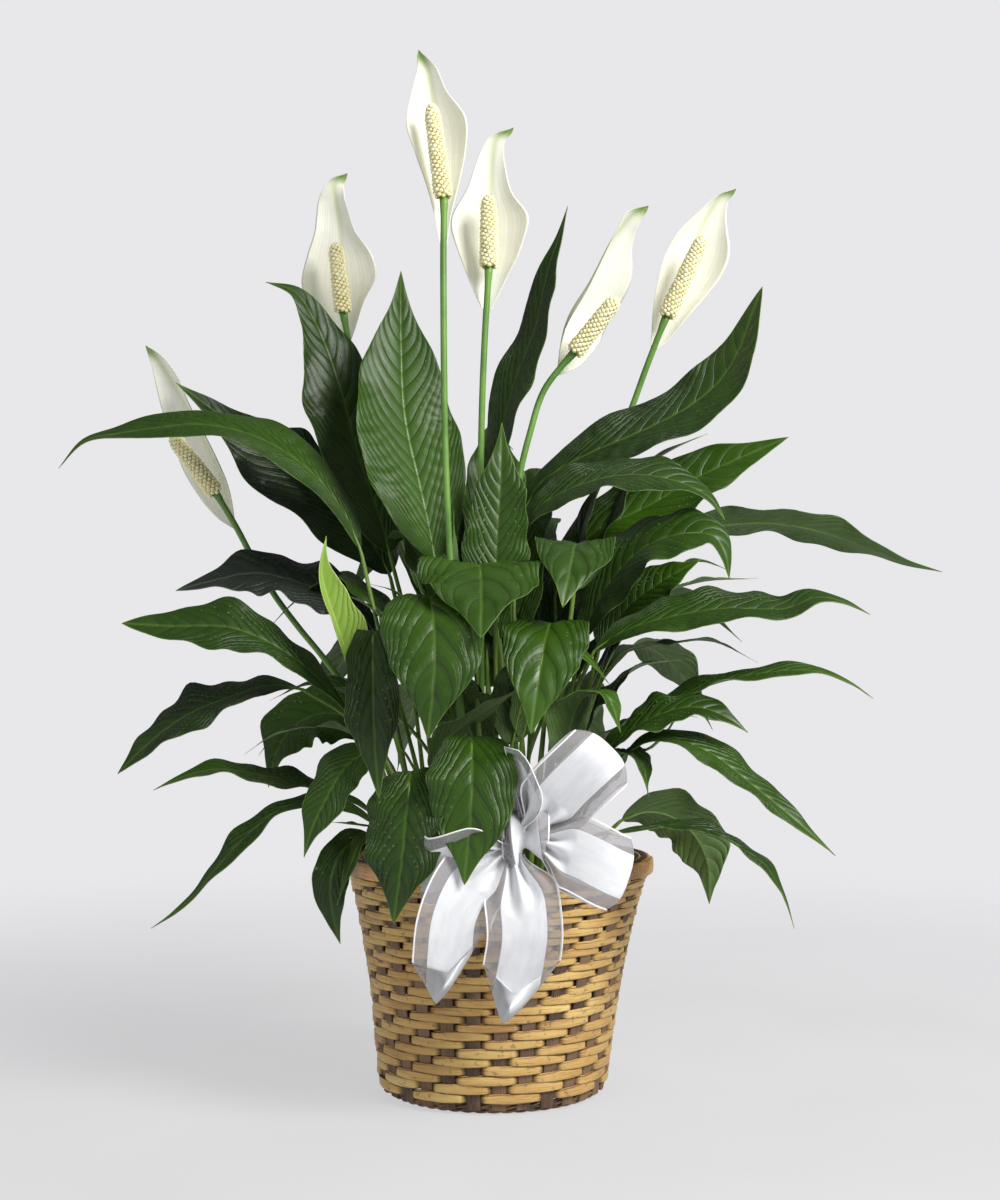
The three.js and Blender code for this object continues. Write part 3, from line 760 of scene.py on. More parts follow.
def grown_blade(skin, blade, habit, thickness):
    """Adds a leaf's blade to the skin: pleated between its side veins, waved along its edges."""
    t = np.array([0.0, 0.035, 0.10, 0.20, 0.31, 0.42, 0.53, 0.64, 0.75, 0.85, 0.93, 0.985, 1.0])
    t = np.concatenate([-t[:0:-1], t])
    rows = len(blade.middle)
    share = np.linspace(0.0, 1.0, rows)[:, None]
    t = t[None, :]
    side = np.abs(t)
    belly = math.log(0.5) / math.log(habit["belly"])
    shape = np.sin(np.pi * np.clip(share, 0.0, 1.0) ** belly) ** habit["full"]
    shape = shape * (1.0 - habit["pointed"] * eased(share, 0.62, 1.0))
    half = np.maximum(0.15 * MM, habit["wide"] * blade.half.max() * shape / shape.max())
    half = half * (1.0 + habit["lean"] * np.sign(t))
    inside = np.sin(np.pi * np.clip(share, 0.0, 1.0)) ** 0.6
    bay = 2 * math.pi * share + habit["phase"] + np.where(t > 0, 0.0, 2.3)
    half = half * (1.0 + habit["wobble"] * inside * (0.6 * np.sin(2.7 * bay) + 0.5 * np.sin(5.9 * bay + 1.0)))
    sweep = habit["slant"] * side**1.2
    phase = habit["veins"] * (share - sweep) / (1.0 - sweep)
    rise = half * (habit["fold"] * side - habit["arch"] * side**2)
    wave = 2 * math.pi * habit["waves"] * share + habit["phase"]
    shift = np.where(t > 0, 0.0, 1.9 + habit["phase"])
    ripple = np.sin(wave + shift) + 0.45 * np.sin(2.3 * wave + 2 * shift + 1.0)
    rise = rise + (habit["ripple"] * half + 0.8 * MM * inside) * ripple * side**2.2 * inside
    narrow = np.minimum(1.0, half / (18 * MM)) ** 1.5
    pleat = habit["pleat"] * MM * narrow * np.sin(math.pi * np.clip(side, 0, 1)) ** 0.7
    rise = rise - pleat * np.cos(2 * math.pi * phase) * inside
    rise = rise - 0.5 * MM * np.exp(-((side * half / (1.3 * MM)) ** 2)) * inside
    sideways = blade.across[:, None] * (t * half)[..., None]
    top = blade.middle[:, None] + sideways + blade.up[:, None] * rise[..., None]
    body = thickness * np.minimum(1.0, half / (3 * MM)) * np.broadcast_to(1.0, t.shape)
    bottom = top - surface_normals(top, blade.up) * np.broadcast_to(body, rise.shape)[..., None]
    edges = (top[:, [0, -1]] + bottom[:, [0, -1]]) / 2
    rings = np.concatenate([edges[:, :1], top[:, 1:-1], edges[:, 1:], bottom[:, -2:0:-1]], axis=1)
    order = np.concatenate([np.arange(t.shape[1]), np.arange(t.shape[1] - 2, 0, -1)])
    below = np.concatenate([np.zeros(t.shape[1]), np.ones(t.shape[1] - 2)])
    below[[0, t.shape[1] - 1]] = 0.5
    from_rib = (side * half / MM)[:, order]
    from_edge = ((1 - side) * half / MM)[:, order]
    across_uv = np.broadcast_to(((t + 1) / 2)[:, order], from_rib.shape)
    along_uv = np.broadcast_to(share, from_rib.shape)
    uv = np.stack([along_uv, across_uv], axis=2)
    marks = np.stack([phase[:, order], from_rib, from_edge], axis=2)
    tone = habit["tone"] + 0.10 * np.sin(5 * share + habit["phase"])
    look = [np.broadcast_to(value, from_rib.shape) for value in (tone, 1.0, below)]
    look = np.stack(look, axis=2)
    skin.loft(rings, uv, marks, look)


def grow_leaf(name, blade, habit, material, thickness, nodes=(), slot="leaf"):
    """A whole leaf: its stalk, its blade, and the midrib that carries the stalk on to the tip."""
    skin = Skin()
    grown_blade(skin, blade, habit, thickness)
    full = smooth_path(np.vstack([blade.stalk[:-1], blade.middle[::6], blade.middle[-1:]]), 90)
    run = np.linspace(0.0, 1.0, len(full))
    stalk_share = length_of(blade.stalk) / max(1e-6, length_of(full))
    thick = habit["stalk"] * MM
    radii = thick * (1.0 + 0.55 * (1 - eased(run, 0.0, 0.5 * stalk_share)))
    rib = 0.62 * thick * (1.0 - run) / (1.0 - stalk_share)
    radii = np.where(run < stalk_share, radii, np.minimum(radii, np.maximum(0.12 * MM, rib)))
    for _ in range(3):
        radii[1:-1] = (radii[:-2] + radii[1:-1] * 2 + radii[2:]) / 4
    drop = eased(run, stalk_share - 0.02, stalk_share + 0.05)[:, None]
    rows = np.clip(
        ((run - stalk_share) / (1 - stalk_share) * (len(blade.up) - 1)).astype(int), 0, len(blade.up) - 1
    )
    full = full - blade.up[rows] * (radii[:, None] * 0.9 + 0.5 * MM) * drop
    marks = {"blade": (0.5, 9.0, 9.0), "look": (habit["tone"], 0.0, 0.0)}
    skin.tube(full, radii, 10, **marks, flatness=0.85, first=blade.across[0])
    return skin.piece(name, material, nodes, slot)


# ---- what Geometry Nodes make ---------------------------------------------------------------

GEOMETRY, INTEGER, MATERIAL = "NodeSocketGeometry", "NodeSocketInt", "NodeSocketMaterial"


def grown(name, tree, values, nodes, base=None, place=None):
    """Runs a Geometry Nodes tree with its inputs set, and hands over the plain mesh that it gives."""
    maker = bpy.data.objects.new(f"{name}_maker", base or bpy.data.meshes.new(name))
    bpy.context.scene.collection.objects.link(maker)
    modifier = maker.modifiers.new("Maker", "NODES")
    modifier.node_group = tree
    for item in tree.interface.items_tree:
        if item.item_type == "SOCKET" and item.in_out == "INPUT" and item.name in values:
            modifier[item.identifier] = values[item.name]
    maker.update_tag()
    graph = bpy.context.evaluated_depsgraph_get()
    mesh = bpy.data.meshes.new_from_object(maker.evaluated_get(graph))
    bpy.data.objects.remove(maker)
    if place is not None:
        mesh.transform(place)
    mesh.shade_smooth()
    piece = bpy.data.objects.new(name, mesh)
    bpy.context.scene.collection.objects.link(piece)
    return hand_over(piece, nodes)


def geometry_group(name, inputs):
    """A Geometry Nodes tree with named inputs, which gives one geometry."""
    return new_group(name, "GeometryNodeTree", inputs, [("Geometry", GEOMETRY)])


def outward(tree, radius, angle, height):
    """The place at a radius, an angle and a height."""
    x = times(tree, radius, maths(tree, "COSINE", angle))
    y = times(tree, radius, maths(tree, "SINE", angle))
    return combined(tree, x, y, height)


def flat_rod(tree, line, wide, thick, corners, normal_mode="Z_UP", radius=None, squareness=1.0):
    """A line of points turned into a closed rod, oval or squarer, thick outward and wide upward."""
    curve = made(tree, "GeometryNodeMeshToCurve", {0: line})
    curve = made(tree, "GeometryNodeSetCurveNormal", {"Curve": curve}, mode=normal_mode)
    if radius is not None:
        curve = made(tree, "GeometryNodeSetCurveRadius", {"Curve": curve, "Radius": radius})
    circle = made(tree, "GeometryNodeCurvePrimitiveCircle", {"Resolution": corners, "Radius": 0.5})
    scale = combined(tree, thick, wide, 1.0)
    corner = tree.nodes.new("GeometryNodeInputPosition").outputs[0]
    height = maths(tree, "ABSOLUTE", times(tree, split(tree, corner)[1], 2.0))
    circle = stored(tree, circle, "section", combined(tree, height, 0.0, 0.0))
    sign = vectors(tree, "SIGN", corner)
    reach = vectors(tree, "MULTIPLY", vectors(tree, "ABSOLUTE", corner), (2.0, 2.0, 0.0))
    power = vectors(tree, "POWER", reach, (squareness, squareness, 1.0))
    corner = vectors(tree, "MULTIPLY", vectors(tree, "MULTIPLY", sign, power), (0.5, 0.5, 0.0))
    oval = vectors(tree, "MULTIPLY", corner, scale)
    section = made(tree, "GeometryNodeSetPosition", {"Geometry": circle, "Position": oval})
    rod = add(tree, "GeometryNodeCurveToMesh", {"Curve": curve, "Profile Curve": section, "Fill Caps": True})
    if radius is not None and "Scale" in rod.inputs:
        tree.links.new(radius, rod.inputs["Scale"])
    return rod.outputs[0]


def line_of(tree, count):
    """A line of points, and the number of each."""
    line = made(tree, "GeometryNodeMeshLine", {"Count": count})
    return line, tree.nodes.new("GeometryNodeInputIndex").outputs[0]


def moved_to(tree, geometry, place):
    """The points of a geometry put in their places."""
    return made(tree, "GeometryNodeSetPosition", {"Geometry": geometry, "Position": place})


def stored(tree, geometry, name, value):
    """A vector stored on the points under a name."""
    spots = {"Geometry": geometry, "Name": name, "Value": value}
    return made(tree, "GeometryNodeStoreNamedAttribute", spots, data_type="FLOAT_VECTOR", domain="POINT")


def copies_round(tree, shape, count, step):
    """Copies of a shape turned about the upright axis, a step apart."""
    points = made(tree, "GeometryNodePoints", {"Count": count})
    number = tree.nodes.new("GeometryNodeInputIndex").outputs[0]
    turn = combined(tree, 0.0, 0.0, times(tree, number, step))
    spots = {"Points": points, "Instance": shape, "Rotation": turn}
    return made(tree, "GeometryNodeInstanceOnPoints", spots)


def ended(tree, out, geometry, material):
    """Realizes the copies, sets the material and sends the result out."""
    real = made(tree, "GeometryNodeRealizeInstances", {0: geometry})
    tree.links.new(
        made(tree, "GeometryNodeSetMaterial", {"Geometry": real, "Material": material}),
        out["Geometry"],
    )


def wall_radius(tree, given, share):
    """The radius of the flaring wall at a share of its height."""
    swell = times(tree, given["Swell"], times(tree, share, share))
    flare = times(tree, given["Flare"], share)
    return plus(tree, given["Foot Radius"], plus(tree, flare, swell))


WALL_INPUTS = [
    ("Foot Radius", FLOAT, 0.0816),
    ("Flare", FLOAT, 0.0165),
    ("Swell", FLOAT, 0.010),
    ("Bottom", FLOAT, 0.0094),
    ("Height", FLOAT, 0.1512),
    ("Stakes", INTEGER, 29),
    ("Material", MATERIAL, None),
]


def weaver_tree():
    """One weaver wound up the wall in a spiral, over two stakes and under one."""
    extra = [
        ("Rows", FLOAT, 28.0),
        ("Steps", INTEGER, 8),
        ("Depth", FLOAT, 0.0021),
        ("Reed Width", FLOAT, 0.0056),
        ("Reed Thickness", FLOAT, 0.0021),
        ("Unevenness", FLOAT, 0.0016),
        ("Lift", FLOAT, 0.0),
        ("Proud", FLOAT, 0.0),
        ("Wander", FLOAT, 0.0),
    ]
    tree, given, out = geometry_group("Reed weaver", WALL_INPUTS + extra)
    per_turn = times(tree, given["Stakes"], given["Steps"])
    line, number = line_of(tree, times(tree, per_turn, given["Rows"]))
    turn = over(tree, number, per_turn)
    angle = times(tree, turn, 2 * math.pi)
    share = over(tree, turn, given["Rows"])
    beat = maths(tree, "COSINE", times(tree, angle, over(tree, given["Stakes"], 3.0)))
    held = ranged(tree, beat, 1.0, 0.5, -1.0, 1.0)
    crossing = ranged(tree, beat, 1.0, 0.0, -1.0, 1.0)
    wander = cloud_field(tree, combined(tree, times(tree, turn, 23.0), 0.0, 3.0))
    sway = cloud_field(tree, combined(tree, times(tree, turn, 9.0), 7.0, 0.0))
    crowding = times(tree, times(tree, share, share), 0.22)
    bent = minus(tree, times(tree, share, 1.22), crowding)
    height = plus(tree, given["Bottom"], times(tree, given["Height"], bent))
    height = plus(tree, height, given["Lift"])
    height = plus(tree, height, times(tree, wander, given["Unevenness"]))
    radius = plus(tree, wall_radius(tree, given, share), times(tree, held, given["Depth"]))
    roam = cloud_field(tree, combined(tree, times(tree, turn, 5.0), 0.0, 11.0))
    radius = plus(tree, radius, plus(tree, given["Proud"], times(tree, roam, given["Wander"])))
    radius = plus(tree, radius, times(tree, sway, given["Unevenness"]))
    line = moved_to(tree, line, outward(tree, radius, angle, height))
    line = stored(tree, line, "strand", combined(tree, turn, crossing, share))
    girth = plus(tree, times(tree, wander, 0.36), times(tree, beat, -0.20))
    girth = plus(tree, girth, ranged(tree, share, 0.0, 1.0, 1.20, 0.80, smooth=False))
    rod = flat_rod(
        tree, line, given["Reed Width"], given["Reed Thickness"], 12, radius=girth, squareness=0.55
    )
    ended(tree, out, rod, given["Material"])
    return tree


def cloud_field(tree, place):
    """Noise from -1 to 1 at a place."""
    value = made(tree, "ShaderNodeTexNoise", {"Vector": place, "Scale": 1.0, "Detail": 2.0})
    return times(tree, minus(tree, value, 0.5), 2.0)


def stake_tree():
    """Ribbed upright stakes set evenly round the wall."""
    extra = [
        ("Rises", INTEGER, 24),
        ("Stake Width", FLOAT, 0.0095),
        ("Stake Thickness", FLOAT, 0.0022),
        ("Rib Depth", FLOAT, 0.0003),
        ("Ribs", FLOAT, 6.0),
        ("Below", FLOAT, 0.003),
        ("Above", FLOAT, 0.003),
    ]
    tree, given, out = geometry_group("Ribbed stakes", WALL_INPUTS + extra)
    line, number = line_of(tree, given["Rises"])
    share = over(tree, number, minus(tree, given["Rises"], 1.0))
    whole = plus(tree, given["Height"], plus(tree, given["Below"], given["Above"]))
    height = minus(tree, times(tree, share, whole), given["Below"])
    wall_share = over(tree, height, given["Height"])
    place = combined(tree, wall_radius(tree, given, wall_share), 0.0, plus(tree, height, given["Bottom"]))
    line = moved_to(tree, line, place)
    curve = made(tree, "GeometryNodeMeshToCurve", {0: line})
    circle = made(tree, "GeometryNodeCurvePrimitiveCircle", {"Resolution": 44, "Radius": 0.5})
    x, y = split(tree, tree.nodes.new("GeometryNodeInputPosition").outputs[0])[:2]
    ribs = maths(tree, "COSINE", times(tree, y, times(tree, given["Ribs"], 2 * math.pi)))
    side = maths(tree, "SIGN", x)
    squared = maths(tree, "POWER", maths(tree, "ABSOLUTE", times(tree, x, 2.0)), 0.35)
    face = times(tree, side, squared)
    depth = plus(tree, times(tree, given["Stake Thickness"], 0.5), times(tree, ribs, given["Rib Depth"]))
    section = combined(tree, times(tree, y, given["Stake Width"]), times(tree, face, depth), 0.0)
    circle = moved_to(tree, circle, section)
    curve = made(tree, "GeometryNodeSetCurveNormal", {"Curve": curve}, mode="MINIMUM_TWIST")
    curve = made(tree, "GeometryNodeSetCurveTilt", {"Curve": curve, "Tilt": 0.0})
    rod = made(tree, "GeometryNodeCurveToMesh", {"Curve": curve, "Profile Curve": circle, "Fill Caps": True})
    step = over(tree, 2 * math.pi, given["Stakes"])
    ended(tree, out, copies_round(tree, rod, given["Stakes"], step), given["Material"])
    return tree


def rope_tree():
    """Thin reeds twisted round each other in a ring."""
    inputs = [
        ("Ring Radius", FLOAT, 0.076),
        ("Height", FLOAT, 0.004),
        ("Twists", FLOAT, 26.0),
        ("Strands", INTEGER, 3),
        ("Rope Radius", FLOAT, 0.0018),
        ("Reed Radius", FLOAT, 0.0016),
        ("Squash", FLOAT, 1.0),
        ("Steps", INTEGER, 520),
        ("Material", MATERIAL, None),
    ]
    tree, given, out = geometry_group("Twisted reeds", inputs)
    line, number = line_of(tree, given["Steps"])
    angle = times(tree, over(tree, number, minus(tree, given["Steps"], 1.0)), 2 * math.pi)
    twist = times(tree, angle, given["Twists"])
    radius = plus(tree, given["Ring Radius"], times(tree, maths(tree, "COSINE", twist), given["Rope Radius"]))
    lift = times(tree, maths(tree, "SINE", twist), times(tree, given["Rope Radius"], given["Squash"]))
    line = moved_to(tree, line, outward(tree, radius, angle, plus(tree, given["Height"], lift)))
    line = stored(tree, line, "strand", combined(tree, angle, 0.3, 0.0))
    wide = times(tree, given["Reed Radius"], 2.0)
    rod = flat_rod(tree, line, wide, wide, 8)
    step = over(tree, 2 * math.pi, times(tree, given["Twists"], given["Strands"]))
    ended(tree, out, copies_round(tree, rod, given["Strands"], step), given["Material"])
    return tree


GOLDEN_ANGLE = 2.39996


def floret_tree():
    """A spadix standing on its base: a tapered core set with florets along a spiral."""
    inputs = [
        ("Length", FLOAT, 0.06),
        ("Radius", FLOAT, 0.0058),
        ("Florets", INTEGER, 330),
        ("Floret Radius", FLOAT, 0.0017),
        ("Seed", INTEGER, 3),
        ("Material", MATERIAL, None),
    ]
    tree, given, out = geometry_group("Spiral florets", inputs)

    def girth(share):
        tip = maths(tree, "MAXIMUM", over(tree, minus(tree, share, 0.84), 0.16), 0.0)
        dome = maths(tree, "SQRT", maths(tree, "MAXIMUM", minus(tree, 1.0, times(tree, tip, tip)), 0.03))
        slim = minus(tree, 1.0, times(tree, share, 0.22))
        foot = ranged(tree, share, 0.0, 0.05, 0.8, 1.0)
        return times(tree, times(tree, dome, slim), times(tree, foot, given["Radius"]))

    line, number = line_of(tree, given["Florets"])
    share = over(tree, plus(tree, number, 0.5), given["Florets"])
    angle = times(tree, number, GOLDEN_ANGLE)
    spots = outward(tree, girth(share), angle, times(tree, share, given["Length"]))
    points = made(tree, "GeometryNodeMeshToPoints", {0: moved_to(tree, line, spots)})
    lean = combined(
        tree, maths(tree, "COSINE", angle), maths(tree, "SINE", angle),
        ranged(tree, share, 0.86, 1.0, 0.15, 2.5),
    )
    turn = made(tree, "FunctionNodeAlignRotationToVector", {"Vector": lean}, axis="Z")
    size = add(
        tree, "FunctionNodeRandomValue", {2: 0.86, 3: 1.12, "Seed": given["Seed"]}, data_type="FLOAT"
    ).outputs[1]
    knob = made(
        tree, "GeometryNodeMeshUVSphere", {"Segments": 8, "Rings": 5, "Radius": given["Floret Radius"]}
    )
    z = split(tree, tree.nodes.new("GeometryNodeInputPosition").outputs[0])[2]
    high = over(tree, z, given["Floret Radius"])
    knob = stored(tree, knob, "raised", combined(tree, ranged(tree, high, -0.35, 0.45), 0.0, 0.0))
    spots = {"Points": points, "Instance": knob, "Rotation": turn, "Scale": size}
    knobs = made(tree, "GeometryNodeInstanceOnPoints", spots)
    core, step = line_of(tree, 24)
    up = over(tree, step, 23.0)
    core = moved_to(tree, core, combined(tree, 0.0, 0.0, times(tree, up, given["Length"])))
    core = flat_rod(tree, core, 2.0, 2.0, 12, "MINIMUM_TWIST", girth(up))
    core = stored(tree, core, "raised", combined(tree, 0.0, 0.0, 0.0))
    joined = tree.nodes.new("GeometryNodeJoinGeometry")
    for part in (knobs, core):
        tree.links.new(part, joined.inputs[0])
    ended(tree, out, joined.outputs[0], given["Material"])
    return tree


def crumb_tree():
    """Crumbs of potting mix scattered over a surface."""
    inputs = [
        ("Geometry", GEOMETRY, None),
        ("Density", FLOAT, 60000.0),
        ("Crumb Radius", FLOAT, 0.0022),
        ("Seed", INTEGER, 5),
        ("Material", MATERIAL, None),
    ]
    tree, given, out = geometry_group("Soil crumbs", inputs)
    spots = {"Mesh": given["Geometry"], "Density": given["Density"], "Seed": given["Seed"]}
    points = made(tree, "GeometryNodeDistributePointsOnFaces", spots)
    crumb = made(tree, "GeometryNodeMeshIcoSphere", {"Radius": given["Crumb Radius"], "Subdivisions": 1})
    turn = add(
        tree, "FunctionNodeRandomValue", {0: (0, 0, 0), 1: (6.28, 6.28, 6.28)}, data_type="FLOAT_VECTOR"
    )
    size = add(
        tree, "FunctionNodeRandomValue", {0: (0.4, 0.4, 0.3), 1: (1.9, 1.5, 1.0), "Seed": 4},
        data_type="FLOAT_VECTOR",
    )
    tree.links.new(given["Seed"], turn.inputs["Seed"])
    spots = {"Points": points, "Instance": crumb, "Rotation": turn.outputs[0], "Scale": size.outputs[0]}
    crumbs = made(tree, "GeometryNodeInstanceOnPoints", spots)
    joined = tree.nodes.new("GeometryNodeJoinGeometry")
    for part in (crumbs, given["Geometry"]):
        tree.links.new(part, joined.inputs[0])
    ended(tree, out, joined.outputs[0], given["Material"])
    return tree


# ---- sizes and colours a user would change --------------------------------------------------


def colour_property(name, description, *screen_values):
    """A colour that a user can change."""
    return FloatVectorProperty(
        name=name, description=description, default=shade(*screen_values), size=4, subtype="COLOR"
    )


def length_property(name, description, default):
    """A length in metres that a user can change."""
    return FloatProperty(name=name, description=description, default=default, unit="LENGTH")


class BasketSettings(bpy.types.PropertyGroup):
    """Sizes and colours of the woven basket"""

    stakes: IntProperty(name="Stakes", description="Upright stakes, not a multiple of three", default=29, min=9)
    rows: IntProperty(name="Rows", description="Turns of the weaver", default=28, min=4)
    reed_width: length_property("Reed width", "How tall one weaver stands", 0.0053)
    reed_thickness: length_property("Reed thickness", "How thick one weaver is", 0.0022)
    stake_width: length_property("Stake width", "Width of one stake", 0.0098)
    reed_colour: colour_property("Reed", "The palest of the weavers", 228, 194, 118)
    stake_colour: colour_property("Stake", "The ribbed stakes", 132, 104, 76)
    rim_colour: colour_property("Rim", "The split-wood rim", 232, 174, 108)


class LeafSettings(bpy.types.PropertyGroup):
    """Colours and thickness of the leaves"""

    thickness: length_property("Thickness", "Thickness of a blade", 0.0006)
    deep: colour_property("Deep", "The darkest green", 12, 30, 4)
    bright: colour_property("Bright", "The brightest green", 68, 108, 20)
    rib: colour_property("Rib", "Midrib, edge and stalk", 118, 148, 66)
    under: colour_property("Underside", "The underside of a blade", 88, 114, 66)


class FlowerSettings(bpy.types.PropertyGroup):
    """Sizes and colours of the flowers"""

    floret_radius: length_property("Floret radius", "Radius of one floret", 0.00185)
    spathe_thickness: length_property("Spathe thickness", "Thickness of a spathe", 0.0006)
    spathe_colour: colour_property("Spathe", "White of the spathe", 232, 232, 220)
    tip_colour: colour_property("Tip", "Green of the hooked tip", 112, 146, 62)
    spadix_colour: colour_property("Spadix", "Cream of the florets", 238, 228, 168)
    stem_colour: colour_property("Stem", "Green of the stems", 74, 122, 42)


class BowSettings(bpy.types.PropertyGroup):
    """Sizes and colours of the ribbon bow"""

    ribbon_width: length_property("Ribbon width", "Width of the ribbon", 0.05)
    border_share: FloatProperty(
        name="Border", description="Share of the width that each border takes", default=0.2, subtype="FACTOR"
    )
    organza_cover: FloatProperty(
        name="Organza", description="How much one layer of a border hides", default=0.27, subtype="FACTOR"
    )
    satin_colour: colour_property("Satin", "The satin middle", 238, 239, 242)


class StageSettings(bpy.types.PropertyGroup):
    """The floor, the light and the camera"""

    floor_colour: colour_property("Floor", "Colour of the floor", 117, 117, 118)
    backdrop_colour: colour_property("Backdrop", "Colour behind the plant", 232, 231, 234)
    floor_glow: FloatProperty(
        name="Floor glow", description="Light the floor gives, which softens the shadow", default=3.15
    )
    fade_start: length_property("Fade start", "Where the floor begins to fade", 0.3)
    fade_end: length_property("Fade end", "Where the floor has faded", 1.5)
    key_power: FloatProperty(
        name="Key light", description="Power of the key light", default=60.0, unit="POWER"
    )
    room_light: FloatProperty(
        name="Room light", description="Share of the backdrop's light that reaches the plant", default=0.30
    )
    lens: FloatProperty(name="Lens", description="Focal length in millimetres", default=53.04)


# ---- the basket -----------------------------------------------------------------------------


def wall_values(settings, material):
    """The inputs that the weaver and the stakes share."""
    bottom = FOOT_HIGH[2] - 2.6 * MM
    return {
        "Stakes": settings.stakes, "Bottom": bottom, "Height": RIM_LOW[2] - 1.0 * MM - bottom,
        "Material": material,
    }


def flat_band(name, radius_low, radius_high, low, high, start, material, outer=1.0):
    """A split-wood hoop of the rim, whose end laps over its start."""
    steps, overlap = 150, 0.3
    turn = start + np.linspace(0.0, 2 * math.pi + overlap, steps)
    lapped = eased(turn, start + 2 * math.pi - 0.25, start + 2 * math.pi)
    thin = 1.0 - 0.75 * (eased(turn, turn[-1] - 0.10, turn[-1]) + 1 - eased(turn, start, start + 0.10))
    thick = (radius_high - radius_low) * np.clip(thin, 0.2, 1.0)
    inner = radius_low + outer * (radius_high - radius_low + 0.2 * MM) * lapped + 0.35 * MM * np.sin(3 * turn)
    section = []
    tall, bevel = high - low, 0.6 * MM
    outside = ((0, 0.2), (0, 0.8), (bevel, 1), (tall / 2, 1.12), (tall - bevel, 1), (tall, 0.8))
    inside = ((tall, 0.2), (tall - bevel, 0), (bevel, 0))
    for up, out in (*outside, *inside):
        radius = inner + thick * out
        wave = 0.4 * MM * np.sin(2 * turn + 1.0)
        section.append(np.stack([radius * np.cos(turn), radius * np.sin(turn), low + up + wave], axis=1))
    skin = Skin()
    skin.loft(np.stack(section, axis=1))
    return skin.piece(name, material, ["basket_rim_band"], "rim_wood")


class PLANT_OT_basket(bpy.types.Operator):
    """Weave the basket: its stakes, the weaver wound round them, the rim and the twisted foot"""

    bl_idname = "plant.basket"
    bl_label = "Weave the basket"

    def execute(self, context):
        settings = context.scene.plant_basket
        reed = reed_material(settings)
        stake = wood_material(
            "Ribbed stake bark", settings.stake_colour[:], shade(58, 42, 32), (900, 900, 30), 0.6
        )
        rim = wood_material(
            "Split-wood rim", settings.rim_colour[:], shade(112, 76, 44), (60, 60, 1200), 0.42
        )
        hoop = wood_material("Dark rim reed", shade(92, 66, 46), shade(48, 34, 26), (60, 60, 900), 0.5)
        foot = wood_material("Twisted foot reed", shade(134, 106, 76), shade(72, 52, 38), (80, 80, 900), 0.6)
        values = wall_values(settings, reed)
        values |= {
            "Rows": float(settings.rows),
            "Reed Width": settings.reed_width,
            "Reed Thickness": settings.reed_thickness,
        }
        weaver = weaver_tree()
        grown("basket_weaver", weaver, values, ["basket_wall"], place=LEANING)
        thin = {
            "Reed Width": 2.0 * MM, "Reed Thickness": 1.5 * MM, "Lift": 2.6 * MM, "Proud": -0.3 * MM,
            "Wander": 4.5 * MM,
        }
        grown("basket_thin_weaver", weaver, values | thin, ["basket_wall"], place=LEANING)
        values = wall_values(settings, stake) | {"Stake Width": settings.stake_width}
        grown("basket_stakes", stake_tree(), values, ["basket_wall"], place=LEANING)
        radius = RIM_HIGH[0]
        low, high = RIM_LOW[2], RIM_HIGH[2]
        outer, inner = (radius - 3.2 * MM, radius - 0.8 * MM), (radius - 9.5 * MM, radius - 7.6 * MM)
        top = high - 1 * MM
        flat_band("rim_outer_hoop", *outer, low, top, -0.35, rim)
        flat_band("rim_inner_hoop", *inner, low + 1 * MM, top, 2.2, rim, -1.0)
        rope = {
            "Steps": 720, "Twists": 8.0, "Strands": 3, "Rope Radius": 1.1 * MM, "Reed Radius": 1.6 * MM,
            "Material": hoop,
        }
        rope |= {"Ring Radius": radius - 5.4 * MM, "Height": high - 1.6 * MM, "Squash": 0.5}
        grown("rim_top_reeds", rope_tree(), rope, ["basket_rim_band"])
        twisted = {
            "Steps": 900, "Strands": 3, "Rope Radius": 1.3 * MM, "Reed Radius": 1.1 * MM, "Material": foot
        }
        low_ring = twisted | {"Ring Radius": 76.4 * MM, "Height": 2.5 * MM, "Twists": 17.0}
        grown("foot_lower_braid", rope_tree(), low_ring, ["basket_foot_braid"], place=LEANING)
        high_ring = twisted | {"Ring Radius": 79.2 * MM, "Height": 6.0 * MM, "Twists": 14.0}
        grown("foot_upper_braid", rope_tree(), high_ring, ["basket_foot_braid"], place=LEANING)
        return {"FINISHED"}


# ---- the pot and its soil -------------------------------------------------------------------


class PLANT_OT_soil(bpy.types.Operator):
    """Fill the grow pot: the lumpy potting mix and its crumbs, and the pot's own plastic"""

    bl_idname = "plant.soil"
    bl_label = "Fill the pot"

    def execute(self, context):
        low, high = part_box("potting_soil")
        radius = (high[0] - low[0]) / 2
        rng = np.random.default_rng(11)
        bumps = rng.uniform(0, 2 * math.pi, (6, 3))
        rings, around = 40, 96
        turn = np.linspace(0, 2 * math.pi, around, endpoint=False)
        rows = []
        for share in np.linspace(1.0, 0.02, rings):
            r = radius * share
            x, y = r * np.cos(turn), r * np.sin(turn)
            lift = 0.0
            for k, bump in enumerate(bumps):
                wave = np.sin(x * (90 + 40 * k) + bump[0]) * np.sin(y * (80 + 45 * k) + bump[1])
                lift = lift + wave / (1.5 + k)
            z = high[2] - 2.5 * MM + 1.1 * MM * lift - 3 * MM * max(0.0, share - 0.93) / 0.07
            rows.append(np.stack([x, y, z], axis=1))
        floor = np.full(around, high[2] - 12 * MM)
        under = []
        for share in (0.02, 1.0):
            r = radius * share
            under.append(np.stack([r * np.cos(turn), r * np.sin(turn), floor], axis=1))
        skin = Skin()
        skin.loft(np.array(under + rows))
        bed = skin_mesh(skin, "soil_bed")
        values = {"Material": soil_material(), "Density": 42000.0}
        grown("potting_mix", crumb_tree(), values, ["potting_soil"], base=bed)
        plastic = pot_material()
        for holder in NODES["grow_pot"].material_slots:
            holder.material = plastic
        return {"FINISHED"}


